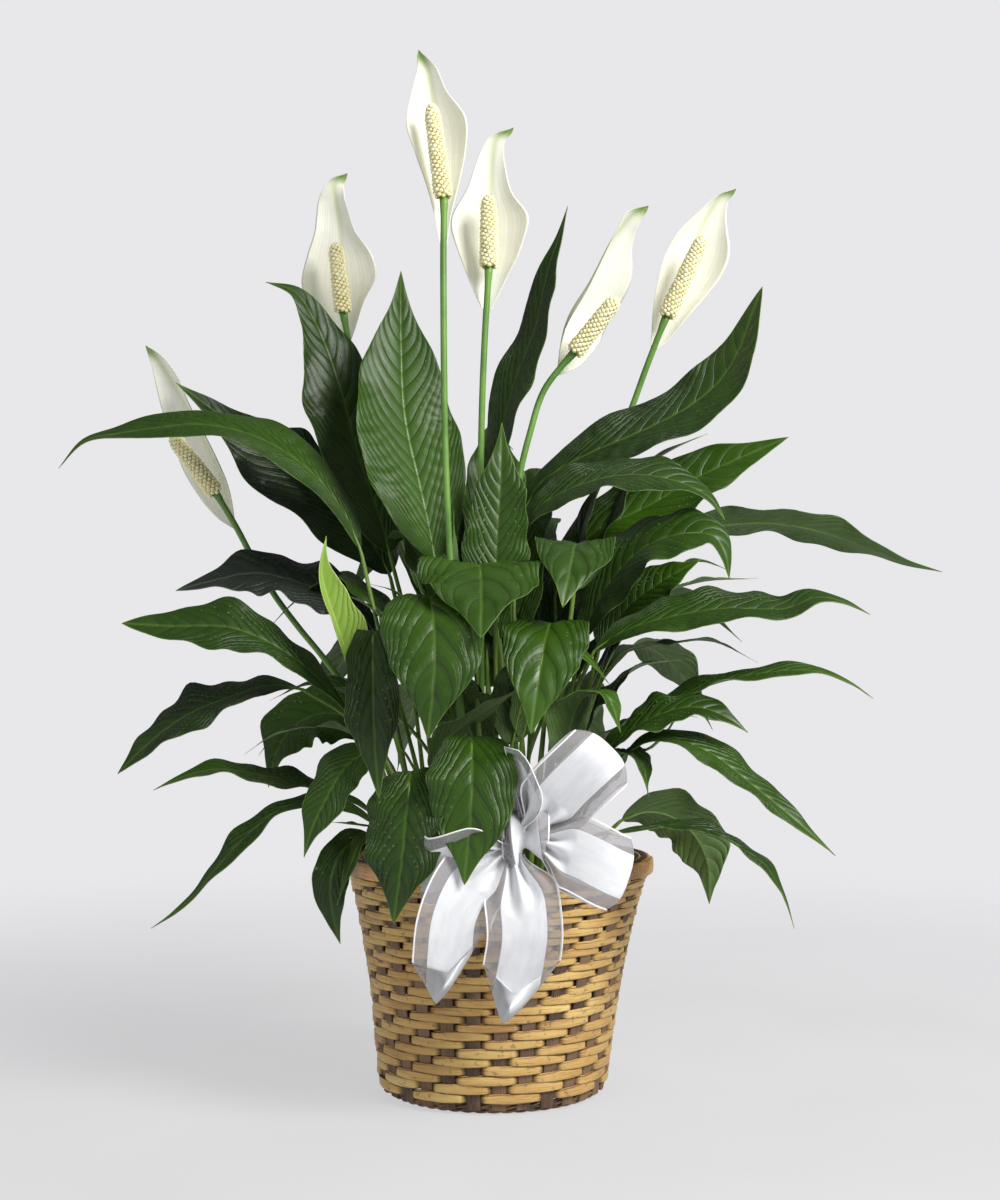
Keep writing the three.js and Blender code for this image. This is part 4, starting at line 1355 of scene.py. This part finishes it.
def skin_mesh(skin, name):
    """A bare mesh from a skin, with its faces outward."""
    mesh = bpy.data.meshes.new(name)
    mesh.from_pydata(np.vstack(skin.points).tolist(), [], skin.faces)
    bm = bmesh.new()
    bm.from_mesh(mesh)
    bmesh.ops.recalc_face_normals(bm, faces=bm.faces)
    bm.to_mesh(mesh)
    bm.free()
    return mesh


# ---- the leaves -----------------------------------------------------------------------------

# The heart-shaped leaves of the front share this much of their habit.
HEART = dict(wobble=0.04, slant=0.66, belly=0.44, full=0.72, pleat=1.0)

# What sets each packed leaf apart from LEAF_HABIT: its tone from dark to bright, its side veins and
# its waves.
LEAVES = {
    "leaf_tall_front": dict(
        wobble=0.04, wide=0.92, lean=0.07, tone=0.5, veins=17, fold=0.30, phase=0.4, ripple=0.04
    ),
    "leaf_centre": dict(tone=0.45, veins=13, phase=1.1),
    "leaf_upper_left": dict(tone=0.28, veins=15, phase=2.0),
    "leaf_upper_right_narrow": dict(tone=0.22, veins=15, phase=0.9, ripple=0.10),
    "leaf_upper_right_long": dict(wide=1.15, belly=0.52, pointed=0.2, tone=0.20, veins=16, phase=2.7),
    "leaf_left_long": dict(wide=1.05, belly=0.42, wobble=0.12, tone=0.34, veins=17, phase=0.2, ripple=0.09),
    "leaf_left_hanging": dict(wide=0.94, tone=0.10, veins=15, phase=1.7),
    "leaf_left_dark": dict(
        wide=1.25, belly=0.46, pointed=0.3, wobble=0.14, tone=0.35, veins=12, phase=0.6, ripple=0.16
    ),
    "leaf_young": dict(tone=0.75, veins=12, fold=0.75, arch=-0.2, phase=0.1, ripple=0.03),
    "leaf_left_middle_long": dict(
        wide=1.15, belly=0.6, pointed=0.2, tone=0.30, veins=16, phase=1.3, ripple=0.10
    ),
    "leaf_left_lower_long": dict(
        wide=1.4, belly=0.54, pointed=0.35, wobble=0.13, tone=0.16, veins=15, phase=2.1, ripple=0.10
    ),
    "leaf_left_broad": dict(wide=1.3, tone=0.42, veins=11, phase=0.8),
    "leaf_left_low_long": dict(wide=1.35, belly=0.5, tone=0.30, veins=14, phase=2.9),
    "leaf_left_low_narrow": dict(tone=0.36, veins=13, phase=1.6),
    "leaf_left_drooping": dict(wide=1.15, belly=0.45, tone=0.40, veins=14, phase=0.5, ripple=0.09),
    "leaf_left_over_rim": HEART | dict(tone=0.26, veins=8, phase=1.9),
    "leaf_right_striped_upper": dict(
        wide=1.35, belly=0.5, pointed=0.35, tone=0.50, veins=13, phase=0.7, pleat=0.9
    ),
    "leaf_right_arched_upper": dict(wide=1.25, belly=0.5, tone=0.26, veins=15, phase=2.4),
    "leaf_far_right": dict(wide=0.95, belly=0.46, wobble=0.15, tone=0.85, veins=15, phase=1.0, ripple=0.11),
    "leaf_right_broad": dict(wide=1.3, belly=0.45, tone=0.34, veins=13, phase=2.2),
    "leaf_right_striped_middle": dict(wide=1.35, belly=0.42, tone=0.58, veins=13, phase=0.3, pleat=0.9),
    "leaf_right_middle_long": dict(
        wide=1.2, belly=0.42, wobble=0.13, tone=0.34, veins=15, phase=1.5, ripple=0.09
    ),
    "leaf_right_lower_long": dict(wide=1.1, wobble=0.12, tone=0.46, veins=16, phase=2.6, ripple=0.09),
    "leaf_right_lower_short": dict(wide=1.4, tone=0.28, veins=12, phase=0.4),
    "leaf_right_drooping": dict(wide=0.98, belly=0.44, tone=0.50, veins=16, phase=1.2),
    "leaf_right_low_arch": dict(tone=0.28, veins=14, phase=2.0),
    "leaf_right_low_broad": dict(wide=1.05, belly=0.45, tone=0.85, veins=11, phase=0.9),
    "leaf_front_crown": HEART | dict(tone=0.44, veins=5, phase=0.6, arch=0.16),
    "leaf_front_upper_right": HEART | dict(tone=0.40, veins=5, phase=1.8, arch=0.16),
    "leaf_front_right": HEART | dict(tone=0.50, veins=5, phase=2.5, arch=0.16),
    "leaf_front_left": HEART | dict(tone=0.42, veins=6, phase=0.2, arch=0.18),
    "leaf_front_left_narrow": HEART | dict(tone=0.22, veins=6, phase=1.4),
    "leaf_front_rim": HEART | dict(tone=0.48, veins=6, phase=2.8, arch=0.16),
    "leaf_front_rim_left": HEART | dict(tone=0.30, veins=9, phase=1.0, arch=0.16),
    "leaf_back_right": dict(wide=1.3, tone=0.34, veins=14, phase=0.5),
    "leaf_back_left": dict(wide=1.2, tone=0.30, veins=14, phase=1.7),
}

# The smaller leaves between them: where each is rooted, the places its middle line passes, in
# millimetres, the share where its blade starts, its width and its habit.
SMALL_LEAVES = {
    "small_right_dark": (
        (50, 45), [(63, 60, 299), (89, 65, 436), (116, 70, 470), (142, 72, 487), (167, 75, 498)], 0.45, 56,
        dict(tone=0.15),
    ),
    "small_right_middle": (
        (35, 30), [(77, 38, 300), (113, 40, 361), (154, 40, 378), (201, 40, 381)], 0.5, 40, dict(tone=0.3)
    ),
    "small_right_pale_tip": (
        (30, 40), [(72, 45, 299), (114, 48, 372), (155, 48, 395), (181, 48, 387)], 0.6, 30, dict(tone=0.7)
    ),
    "small_right_thin": (
        (40, -20), [(59, -24, 251), (88, -28, 320), (127, -30, 330), (156, -32, 332), (190, -34, 316)], 0.5,
        20, dict(tone=0.3),
    ),
    "small_right_pale_low": (
        (40, -40), [(58, -50, 219), (81, -58, 248), (105, -60, 253), (119, -60, 264), (131, -60, 284)], 0.45,
        22, dict(tone=0.6),
    ),
    "small_behind_bow": (
        (45, -45), [(67, -62, 220), (90, -74, 254), (101, -84, 245), (105, -90, 222)], 0.4, 44,
        dict(tone=0.45),
    ),
    "small_behind_bow_pale": (
        (30, -50), [(43, -60, 234), (59, -75, 291), (75, -84, 294), (86, -92, 266)], 0.45, 46, dict(tone=0.7)
    ),
    "small_left_dark_thin": (
        (-40, -36),
        [
            (-68, -42, 228), (-94, -48, 258), (-115, -52, 269), (-139, -58, 270), (-162, -64, 263),
            (-180, -68, 251),
        ],
        0.4, 26, dict(tone=0.02),
    ),
    "small_left_rim": (
        (-50, -45), [(-67, -60, 191), (-85, -68, 199), (-120, -76, 204)], 0.35, 13, dict(tone=0.5)
    ),
    "small_left_rim_hanging": (
        (-52, -50), [(-71, -72, 192), (-93, -92, 194), (-103, -104, 172), (-110, -112, 150)], 0.35, 13,
        dict(tone=0.4),
    ),
    "small_left_upper_dark": (
        (-38, -10), [(-59, -14, 231), (-98, -20, 285), (-137, -24, 300), (-168, -28, 288)], 0.45, 22,
        dict(tone=0.05),
    ),
    "small_left_grey": (
        (-26, 0), [(-50, 0, 270), (-75, 0, 335), (-100, 0, 360), (-118, 0, 368)], 0.6, 26, dict(tone=0.1)
    ),
    "small_yellow_shoot": (
        (-16, -30), [(-25, -36, 271), (-32, -42, 383), (-32, -44, 426)], 0.5, 12, dict(tone=1.0, fold=0.9)
    ),
    "small_behind_centre": (
        (28, 25), [(40, 40, 300), (60, 50, 400), (72, 52, 440), (88, 54, 472)], 0.35, 54, dict(tone=0.12)
    ),
    "small_right_inner": (
        (35, 10), [(54, 15, 235), (79, 20, 285), (106, 22, 312), (140, 24, 318)], 0.35, 50, dict(tone=0.2)
    ),
    "small_right_inner_low": (
        (42, -8), [(58, -14, 215), (84, -22, 262), (112, -28, 280), (146, -34, 276)], 0.35, 40, dict(tone=0.3)
    ),
    "small_left_inner": (
        (-24, 8), [(-38, 10, 270), (-56, 12, 335), (-76, 13, 368), (-100, 14, 376)], 0.4, 40, dict(tone=0.05)
    ),
    "small_olive_front": (
        (-25, -40), [(-43, -60, 229), (-33, -80, 265), (-9, -90, 282), (17, -92, 299)], 0.45, 26,
        dict(tone=0.55),
    ),
}

# Leaves that fill the crown and the back: bearing in degrees, how far and how high each reaches,
# how far its tip hangs, and its width, in millimetres.
CROWN_LEAVES = [
    (20, 205, 372, 40, 44), (38, 225, 330, 70, 46), (52, 235, 405, 50, 50), (66, 215, 300, 84, 42),
    (78, 238, 440, 60, 54), (90, 205, 350, 60, 48), (101, 240, 395, 90, 50), (113, 225, 300, 80, 44),
    (124, 238, 425, 60, 52), (137, 220, 345, 90, 46), (150, 225, 300, 60, 42), (163, 190, 380, 40, 44),
    (84, 120, 500, 10, 50), (112, 130, 455, 16, 48), (58, 130, 470, 16, 46), (140, 120, 415, 20, 44),
    (250, 90, 300, 30, 44), (285, 92, 320, 30, 44), (215, 95, 330, 30, 42), (325, 98, 330, 30, 42),
]


# The height in millimetres from which the crown leaves rise.
CROWN_FOOT = 159


def crown_blade(bearing, reach, rise, hang, width):
    """A leaf that arches out of the crown towards a bearing."""
    x, y = math.cos(math.radians(bearing)), math.sin(math.radians(bearing))
    sway = 14 * math.sin(bearing)
    spots = [(0.24, 0.52, 0.3), (0.46, 0.86, 0.8), (0.66, 1.0, 1.0), (0.85, None, 0.7), (1.0, None, 0.0)]
    points = []
    for out, up, bend in spots:
        height = CROWN_FOOT + (rise - CROWN_FOOT) * up if up else rise - hang * (0.32 if out < 1 else 1.0)
        points.append((x * reach * out - y * sway * bend, y * reach * out + x * sway * bend, height))
    root = (x * 34 + 10 * math.sin(3 * bearing), y * 34 + 8 * math.cos(2 * bearing))
    return drawn_blade(root, points, 0.44, width, (12 * math.sin(2 * bearing), 22 * math.cos(bearing)), 0.5)


def leaf_materials(settings):
    """The three leaf finishes: full grown, young, and a grey-black copy of the leaf green with painted shade,
    for the leaf that stands in shadow.
    """
    young = (shade(104, 138, 48), shade(156, 188, 84), shade(190, 208, 130), shade(150, 176, 96))
    # A grey-black copy of the leaf colours: the shade of a leaf in shadow is painted in.
    dark = (shade(18, 24, 20), shade(50, 62, 50), shade(120, 130, 116), shade(96, 104, 96))
    grown_up = (settings.deep[:], settings.bright[:], settings.rib[:], settings.under[:])
    return {
        "leaf": leaf_material("Leaf green", *grown_up, 0.34),
        "young_leaf": leaf_material("Young leaf green", *young, 0.40),
        "dark_leaf": leaf_material("Leaf green with painted shade", *dark, 0.42),
    }


class PLANT_OT_leaves(bpy.types.Operator):
    """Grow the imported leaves, the smaller ones between them and those of the crown"""

    bl_idname = "plant.leaves"
    bl_label = "Grow the leaves"

    def execute(self, context):
        settings = context.scene.plant_leaves
        finishes = leaf_materials(settings)
        slots = {"leaf_young": "young_leaf", "leaf_left_dark": "dark_leaf"}
        outline = {"row": LEAF_ROW, "base_half": 1.8 * MM}
        for node, own in LEAVES.items():
            blade = measured_blade(node, 6, ROOT_REACH, 5, outline)
            slot = slots.get(node, "leaf")
            grow_leaf(
                f"{node}_blade", blade, LEAF_HABIT | own, finishes[slot], settings.thickness, [node], slot
            )
        for name, (root, points, start, width, own) in SMALL_LEAVES.items():
            blade = drawn_blade(root, points, start, width)
            grow_leaf(
                name, blade, LEAF_HABIT | {"veins": 10.0, "stalk": 1.3} | own, finishes["leaf"],
                settings.thickness,
            )
        for number, (bearing, *sizes) in enumerate(CROWN_LEAVES):
            own = {"tone": 0.18 + 0.3 * abs(math.sin(7 * number)), "phase": 0.9 * number, "veins": 13.0}
            blade = crown_blade(bearing, *sizes)
            grow_leaf(
                f"crown_leaf_{number + 1:02d}", blade, LEAF_HABIT | own, finishes["leaf"], settings.thickness
            )
        return {"FINISHED"}


# ---- the flowers ----------------------------------------------------------------------------

FLORETS_PER_METRE = 3700

# Each flower's habit: how deep its spathe is cupped, how far each edge curls, how far its tip
# hooks to the left, and how far its left and right edges stand from the midrib, in millimetres,
# at the shares of its length in SPATHE_SHARES.
SPATHE_SHARES = (0.0, 0.08, 0.2, 0.35, 0.5, 0.65, 0.8, 0.92, 1.0)
FLOWERS = {
    "far_left": dict(
        cup=0.30, curl=(0.10, 0.0), hook=3, left=(12, 22, 27, 26, 21, 13, 6), right=(3, 6, 6, 6, 7, 9, 6)
    ),
    "left": dict(
        cup=0.30, curl=(0.05, 0.10), hook=-5, left=(13, 24, 31, 27, 20, 15, 6),
        right=(9, 19, 29, 25, 12, 9, 7),
    ),
    "tallest": dict(
        cup=0.42, curl=(0.0, 0.35), hook=4, left=(3, 6, 11, 17, 21, 15, 7), right=(3, 6, 13, 20, 23, 11, 6)
    ),
    "centre": dict(
        cup=0.30, curl=(0.05, 0.05), hook=-8, left=(8, 17, 25, 29, 18, 11, 6),
        right=(5, 13, 24, 30, 16, 10, 6),
    ),
    "right": dict(
        cup=0.34, curl=(0.1, 0.0), hook=-6, left=(1, 1, 1, 1, 2, 4, 7), right=(17, 27, 32, 31, 27, 15, 7)
    ),
    "far_right": dict(
        cup=0.42, curl=(0.30, 0.0), hook=-5, left=(4, 9, 15, 19, 17, 8, 3), right=(9, 16, 23, 28, 27, 16, 7)
    ),
}


def grow_spathe(name, blade, habit, material, thickness, node):
    """A cupped, faintly pleated spathe with a green hooked tip."""
    t = np.linspace(0.0, 1.0, 15) ** 0.85
    t = np.concatenate([-t[:0:-1], t])
    rows = len(blade.middle)
    share = np.linspace(0.0, 1.0, rows)[:, None]
    t = t[None, :]
    side = np.abs(t)
    edges = []
    for edge in ("right", "left"):
        spots = np.stack([np.array(SPATHE_SHARES) * 100.0, (0.3, *habit[edge], 0.3), np.zeros(9)], axis=1)
        drawn = smooth_path(spots, 400)
        edges.append(np.interp(share[:, 0] * 100.0, drawn[:, 0], drawn[:, 1])[:, None] * MM)
    half = np.maximum(0.3 * MM, np.where(t > 0, edges[1], edges[0]))
    inside = np.sin(math.pi * share) ** 0.6
    curl = np.where(t > 0, habit["curl"][1], habit["curl"][0])
    cupped = (edges[0] + edges[1]) / 2
    rise = cupped * habit["cup"] * side**2 + cupped * curl * side**5 * inside
    rise = rise + 0.9 * MM * np.sin(5 * math.pi * share + 2.2 * np.sign(t)) * side**2 * inside
    phase = 9.0 * side + 1.2 * share
    ribs = 0.2 * MM * np.minimum(1.0, half / (20 * MM)) ** 1.5 * (1 - side)
    rise = rise + ribs * np.cos(2 * math.pi * (4.0 * side + 1.2 * share)) * inside
    rise = rise - 0.8 * MM * np.exp(-((side * half / (2.2 * MM)) ** 2)) * inside
    hooked = habit["hook"] * MM * eased(share, 0.86, 1.0) ** 2
    sideways = blade.across[:, None] * (t * half + hooked)[..., None]
    top = blade.middle[:, None] + sideways + blade.up[:, None] * rise[..., None]
    body = thickness * np.minimum(1.0, half / (3 * MM)) * np.ones_like(side)
    bottom = top - surface_normals(top, blade.up) * np.broadcast_to(body, rise.shape)[..., None]
    edges = (top[:, [0, -1]] + bottom[:, [0, -1]]) / 2
    rings = np.concatenate([edges[:, :1], top[:, 1:-1], edges[:, 1:], bottom[:, -2:0:-1]], axis=1)
    count = t.shape[1]
    order = np.concatenate([np.arange(count), np.arange(count - 2, 0, -1)])
    below = np.concatenate([np.zeros(count), np.ones(count - 2)])
    from_rib = (side * half / MM)[:, order]
    from_edge = ((1 - side) * half / MM)[:, order]
    green = eased(share, 0.90, 1.0) + 0.30 * eased(share, 0.55, 1.0) * np.exp(
        -((side * half / (4 * MM)) ** 2)
    )
    green = np.clip(green + 0.5 * (1 - eased(share, 0.0, 0.05)), 0, 1)
    green = np.broadcast_to(green, rise.shape)[:, order]
    along_uv = np.broadcast_to(share, from_rib.shape)
    uv = np.stack([along_uv, np.broadcast_to(((t + 1) / 2)[:, order], from_rib.shape)], axis=2)
    marks = np.stack([np.broadcast_to(phase, rise.shape)[:, order], from_rib, from_edge], axis=2)
    look = np.stack([green, along_uv, np.broadcast_to(below, from_rib.shape)], axis=2)
    skin = Skin()
    skin.loft(rings, uv, marks, look)
    return skin.piece(name, material, [node], "spathe")


def packed_points(node):
    """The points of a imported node."""
    mesh = NODES[node].data
    points = np.empty(len(mesh.vertices) * 3)
    mesh.vertices.foreach_get("co", points)
    return points.reshape(-1, 3)


def rod_line(node, sections):
    """The middle line of a packed rod, from the mean of its points in slices along it."""
    points = np.unique(np.round(packed_points(node), 7), axis=0)
    centre = points.mean(0)
    axis = np.linalg.svd(points - centre, full_matrices=False)[2][0]
    if axis[2] < 0:
        axis = -axis
    run = (points - centre) @ axis
    order = np.argsort(run, kind="stable")
    return np.array(
        [chunk.mean(0) for chunk in np.array_split(points[order], sections)]
    ), axis, run.min(), run.max(), centre


class PLANT_OT_flowers(bpy.types.Operator):
    """Open the flowers: stems, spathes and florets"""

    bl_idname = "plant.flowers"
    bl_label = "Open the flowers"

    def execute(self, context):
        settings = context.scene.plant_flowers
        white, cream, green = spathe_material(settings), spadix_material(settings), stem_material(settings)
        florets = floret_tree()
        outline = {"row": 1.6 * MM, "base_half": 0.8 * MM}
        for number, (place, habit) in enumerate(FLOWERS.items()):
            spathe, spadix, stem = f"spathe_{place}", f"spadix_{place}", f"flower_stem_{place}"
            blade = measured_blade(spathe, 8, 10.0, 0, outline)
            grow_spathe(f"{spathe}_blade", blade, habit, white, settings.spathe_thickness, spathe)
            line = rod_line(stem, 12)[0]
            points = packed_points(spadix)
            centre = points.mean(0)
            axis = np.linalg.svd(points - centre, full_matrices=False)[2][0]
            end = line[-1]
            if np.dot(centre - end, axis) < 0:
                axis = -axis
            run = (points - centre) @ axis
            spadix_base = centre + axis * run.min()
            turned = Vector(axis).to_track_quat("Z", "Y").to_matrix().to_4x4()
            turned.translation = Vector(spadix_base)
            values = {
                "Length": float(run.max() - run.min()),
                "Florets": int(FLORETS_PER_METRE * (run.max() - run.min())),
                "Floret Radius": settings.floret_radius,
                "Seed": number,
                "Material": cream,
            }
            grown(f"{spadix}_florets", florets, values, [spadix], place=turned)
            line = smooth_path(np.vstack([line[0] - (0, 0, 3 * MM), line, spadix_base]), 90)
            share = np.linspace(0, 1, 90)
            radii = (3.3 - 0.9 * eased(share, 0.0, 0.5)) * MM + 0.9 * MM * eased(share, 0.965, 1.0)
            skin = Skin()
            skin.tube(line, radii, 14, uv=(0.5, 0.5))
            skin.piece(f"{stem}_stalk", green, [stem], "stem")
        return {"FINISHED"}


# ---- the bow --------------------------------------------------------------------------------

# Each length of ribbon: the places its middle line passes, in millimetres, the direction across
# it, whether it loops back to the knot, how far from the knot it spreads, and where across it
# its cut end is longest.
RIBBONS = {
    "bow_upper_loop": (
        [(24, -136, 204), (44, -151, 230), (66, -158, 252), (75, -152, 260), (69, -142, 256), (45, -134, 231),
         (24, -130, 204)], (29, 4, -33), True, 26, 0.0),
    "bow_right_loop": (
        [(28, -138, 196), (54, -153, 189), (79, -157, 177), (87, -150, 173), (80, -142, 174), (55, -134, 184),
         (28, -131, 194)], (23, 4, 53), True, 26, 0.0),
    "bow_left_loop": (
        [(6, -136, 191), (-20, -144, 186), (-42, -141, 178), (-48, -134, 176), (-42, -127, 175),
         (-18, -126, 181), (6, -129, 190)], (2, -8, 13), True, 26, 0.0),
    "bow_small_loop": (
        [(17, -134, 206), (19, -140, 222), (15, -141, 235), (11, -137, 241), (8, -131, 237), (11, -128, 222),
         (14, -129, 206)], (6, -10, 1), True, 26, 0.0),
    "bow_left_tail": (
        [
            (6, -139, 190), (-18, -148, 168), (-29, -149, 146), (-32, -143, 123), (-33, -137, 105),
            (-35, -134, 87),
        ],
        (10, 2, 1), False, 40, -0.25),
    "bow_centre_tail": (
        [(10, -140, 187), (16, -148, 159), (18, -147, 136), (16, -141, 118), (12, -134, 97), (6, -131, 73)],
        (10, 0, 1), False, 44, -0.1),
}
KNOT = (20, -134, 199)
TAIL_CUT = 46 * MM


def ribbon_piece(
    name, points, across, is_loop, width, material, spread, tip=0.0, pleats=3.0, gathered=15 * MM
):
    """A length of ribbon: pleated where it is gathered at the knot, flat beyond, with corded edges."""
    path_length = length_of(smooth_path(np.array(points) * MM, 200))
    rows = max(40, int(path_length / (1.6 * MM)))
    path = smooth_path(np.array(points) * MM, rows)
    side, up = squared_up(tangents(path), np.broadcast_to(unit(across), path.shape))
    t = np.linspace(-1, 1, 33)[None, :]
    share = np.linspace(0, 1, rows)[:, None]
    free = eased(share * path_length, 0.0, spread * MM) if spread else np.zeros_like(share)
    if is_loop:
        free = free * eased((1 - share) * path_length, 0.0, spread * MM)
    half = (gathered + (width - gathered) * free) / 2
    lost = np.sqrt(np.maximum(0.0, (width / (2 * half)) ** 2 - 1.0))
    fold = lost * (2 * half) / (4 * pleats)
    rise = np.minimum(fold, 6 * MM) * np.cos(pleats * math.pi * t)
    swell = 1.4 * MM * np.sin(2.2 * math.pi * share + 0.8) * np.sin(math.pi * t / 2) * free
    rise = rise + swell - 2.2 * MM * free * t**2 * np.cos(math.pi * share)
    if is_loop or not spread:
        drawn_in = 0.13 * np.abs(t) ** 3 * np.sin(math.pi * share) ** 2 if is_loop else np.zeros((rows, 1))
        place = path[:, None] + (path[0] - path[:, None]) * drawn_in[..., None]
        turned, lifted = side[:, None], up[:, None]
    else:
        cut = share * (1 - TAIL_CUT / path_length * np.abs(t - tip) ** 1.25)
        index = cut * (rows - 1)
        low = np.clip(index.astype(int), 0, rows - 2)
        part = (index - low)[..., None]
        place, turned, lifted = (a[low] * (1 - part) + a[low + 1] * part for a in (path, side, up))
    middle = place + turned * (t * half)[..., None] + lifted * rise[..., None]
    normal = unit(np.cross(np.gradient(middle, axis=0), np.gradient(middle, axis=1)))
    thin = 0.09 * MM
    top, bottom = middle + normal * thin, middle - normal * thin
    rings = np.concatenate([top, bottom[:, ::-1]], axis=1)
    columns = t.shape[1]
    order = np.concatenate([np.arange(columns), np.arange(columns)[::-1]])
    across_uv = np.broadcast_to(((t + 1) / 2)[:, order], (rows, 2 * columns))
    along_uv = np.broadcast_to(share * path_length / width, (rows, 2 * columns))
    skin = Skin()
    skin.loft(rings, np.stack([along_uv, across_uv], axis=2))
    for edge, v in ((0, 0.0), (-1, 1.0)):
        skin.tube(middle[:, edge], 0.42 * MM, 6, uv=(0.5, v))
    piece = skin.piece(name, material, ["ribbon_bow"], "ribbon")
    return piece, path_length


class PLANT_OT_bow(bpy.types.Operator):
    """Tie the bow: its loops, its tails and its knot"""

    bl_idname = "plant.bow"
    bl_label = "Tie the bow"

    def execute(self, context):
        settings = context.scene.plant_bow
        satin = ribbon_material(settings)
        width = settings.ribbon_width
        x, y, z = KNOT
        wrap = []
        for step in range(13):
            angle = 2 * math.pi * step / 12 + 0.4
            wrap.append((x + 1.5 * math.sin(angle), y + 11 * math.sin(angle), z + 13.5 * math.cos(angle)))
        knot, length = ribbon_piece("bow_knot", wrap, (1, 0, 0.4), False, width, satin, 0, 0.0, 1.6, 31 * MM)
        for name, (points, across, is_loop, spread, tip) in RIBBONS.items():
            piece, length = ribbon_piece(name, points, across, is_loop, width, satin, spread, tip)
        return {"FINISHED"}


# ---- the stage ------------------------------------------------------------------------------


CAMERA_PLACE = (0.0015, -1.326, 0.316)
# How far above the camera's own height the middle of the view meets the plant.
VIEW_RISE = 46.5 * MM


def area_light(name, place, aim, size, power, colour):
    """A soft square light that looks at a point."""
    light = bpy.data.lights.new(name, "AREA")
    light.energy, light.size, light.color = power, size, colour
    lamp = bpy.data.objects.new(name, light)
    lamp.location = place
    lamp.rotation_euler = (Vector(aim) - Vector(place)).to_track_quat("-Z", "Y").to_euler()
    bpy.context.scene.collection.objects.link(lamp)
    return lamp


class PLANT_OT_stage(bpy.types.Operator):
    """Set the stage: a pale floor, soft studio light and the camera"""

    bl_idname = "plant.stage"
    bl_label = "Set the stage"

    def execute(self, context):
        settings = context.scene.plant_stage
        scene = context.scene
        scene.view_settings.view_transform = "Standard"
        mesh = bpy.data.meshes.new("floor")
        turn = np.linspace(0, 2 * math.pi, 64, endpoint=False)
        mesh.from_pydata([(6 * math.cos(a), 6 * math.sin(a), 0.0) for a in turn], [], [tuple(range(64))])
        floor = bpy.data.objects.new("floor", mesh)
        scene.collection.objects.link(floor)
        mesh.materials.append(floor_material(settings))
        world = bpy.data.worlds.new("Studio")
        world.use_nodes = True
        tree = world.node_tree
        seen = add(tree, "ShaderNodeLightPath").outputs["Is Camera Ray"]
        strength = plus(tree, times(tree, seen, 1.0 - settings.room_light), settings.room_light)
        background = tree.nodes["Background"]
        background.inputs["Color"].default_value = settings.backdrop_colour[:]
        tree.links.new(strength, background.inputs["Strength"])
        scene.world = world
        area_light("key_light", (1.3, -1.2, 1.6), (0, 0, 0.35), 0.9, settings.key_power, (1.0, 0.985, 0.96))
        area_light("fill_light", (-1.5, -1.2, 0.9), (0, 0, 0.4), 1.6, 4.0, (0.96, 0.98, 1.0))
        camera_data = bpy.data.cameras.new("camera")
        camera_data.lens = settings.lens
        camera_data.sensor_width = 36.0
        camera = bpy.data.objects.new("camera", camera_data)
        camera.location = CAMERA_PLACE
        camera.rotation_euler = (math.radians(90) + math.atan2(VIEW_RISE, -CAMERA_PLACE[1]), 0.0, 0.0)
        scene.collection.objects.link(camera)
        scene.camera = camera
        return {"FINISHED"}


# ---- the add-on -----------------------------------------------------------------------------


class PLANT_PT_panel(bpy.types.Panel):
    """Lists the plant's settings and the steps that build it"""

    bl_label = "Peace lily"
    bl_idname = "PLANT_PT_panel"
    bl_space_type = "VIEW_3D"
    bl_region_type = "UI"
    bl_category = "Peace lily"

    def draw(self, context):
        for group, operator in STEPS:
            box = self.layout.box()
            if group:
                settings = getattr(context.scene, group)
                for name in settings.bl_rna.properties.keys():
                    if name not in ("rna_type", "name"):
                        box.prop(settings, name)
            box.operator(operator.bl_idname)


SETTINGS = {
    "plant_basket": BasketSettings,
    "plant_leaves": LeafSettings,
    "plant_flowers": FlowerSettings,
    "plant_bow": BowSettings,
    "plant_stage": StageSettings,
}
STEPS = [
    ("plant_stage", PLANT_OT_stage),
    ("plant_basket", PLANT_OT_basket),
    (None, PLANT_OT_soil),
    ("plant_leaves", PLANT_OT_leaves),
    ("plant_flowers", PLANT_OT_flowers),
    ("plant_bow", PLANT_OT_bow),
]


def register():
    for kind in (*SETTINGS.values(), *(operator for _, operator in STEPS), PLANT_PT_panel):
        bpy.utils.register_class(kind)
    for name, kind in SETTINGS.items():
        setattr(bpy.types.Scene, name, PointerProperty(type=kind))


def unregister():
    for name in SETTINGS:
        delattr(bpy.types.Scene, name)
    for kind in (PLANT_PT_panel, *(operator for _, operator in STEPS), *SETTINGS.values()):
        bpy.utils.unregister_class(kind)


def main():
    register()
    bpy.ops.plant.stage()
    bpy.ops.plant.basket()
    bpy.ops.plant.soil()
    bpy.ops.plant.leaves()
    bpy.ops.plant.flowers()
    bpy.ops.plant.bow()


if __name__ == "__main__":
    main()
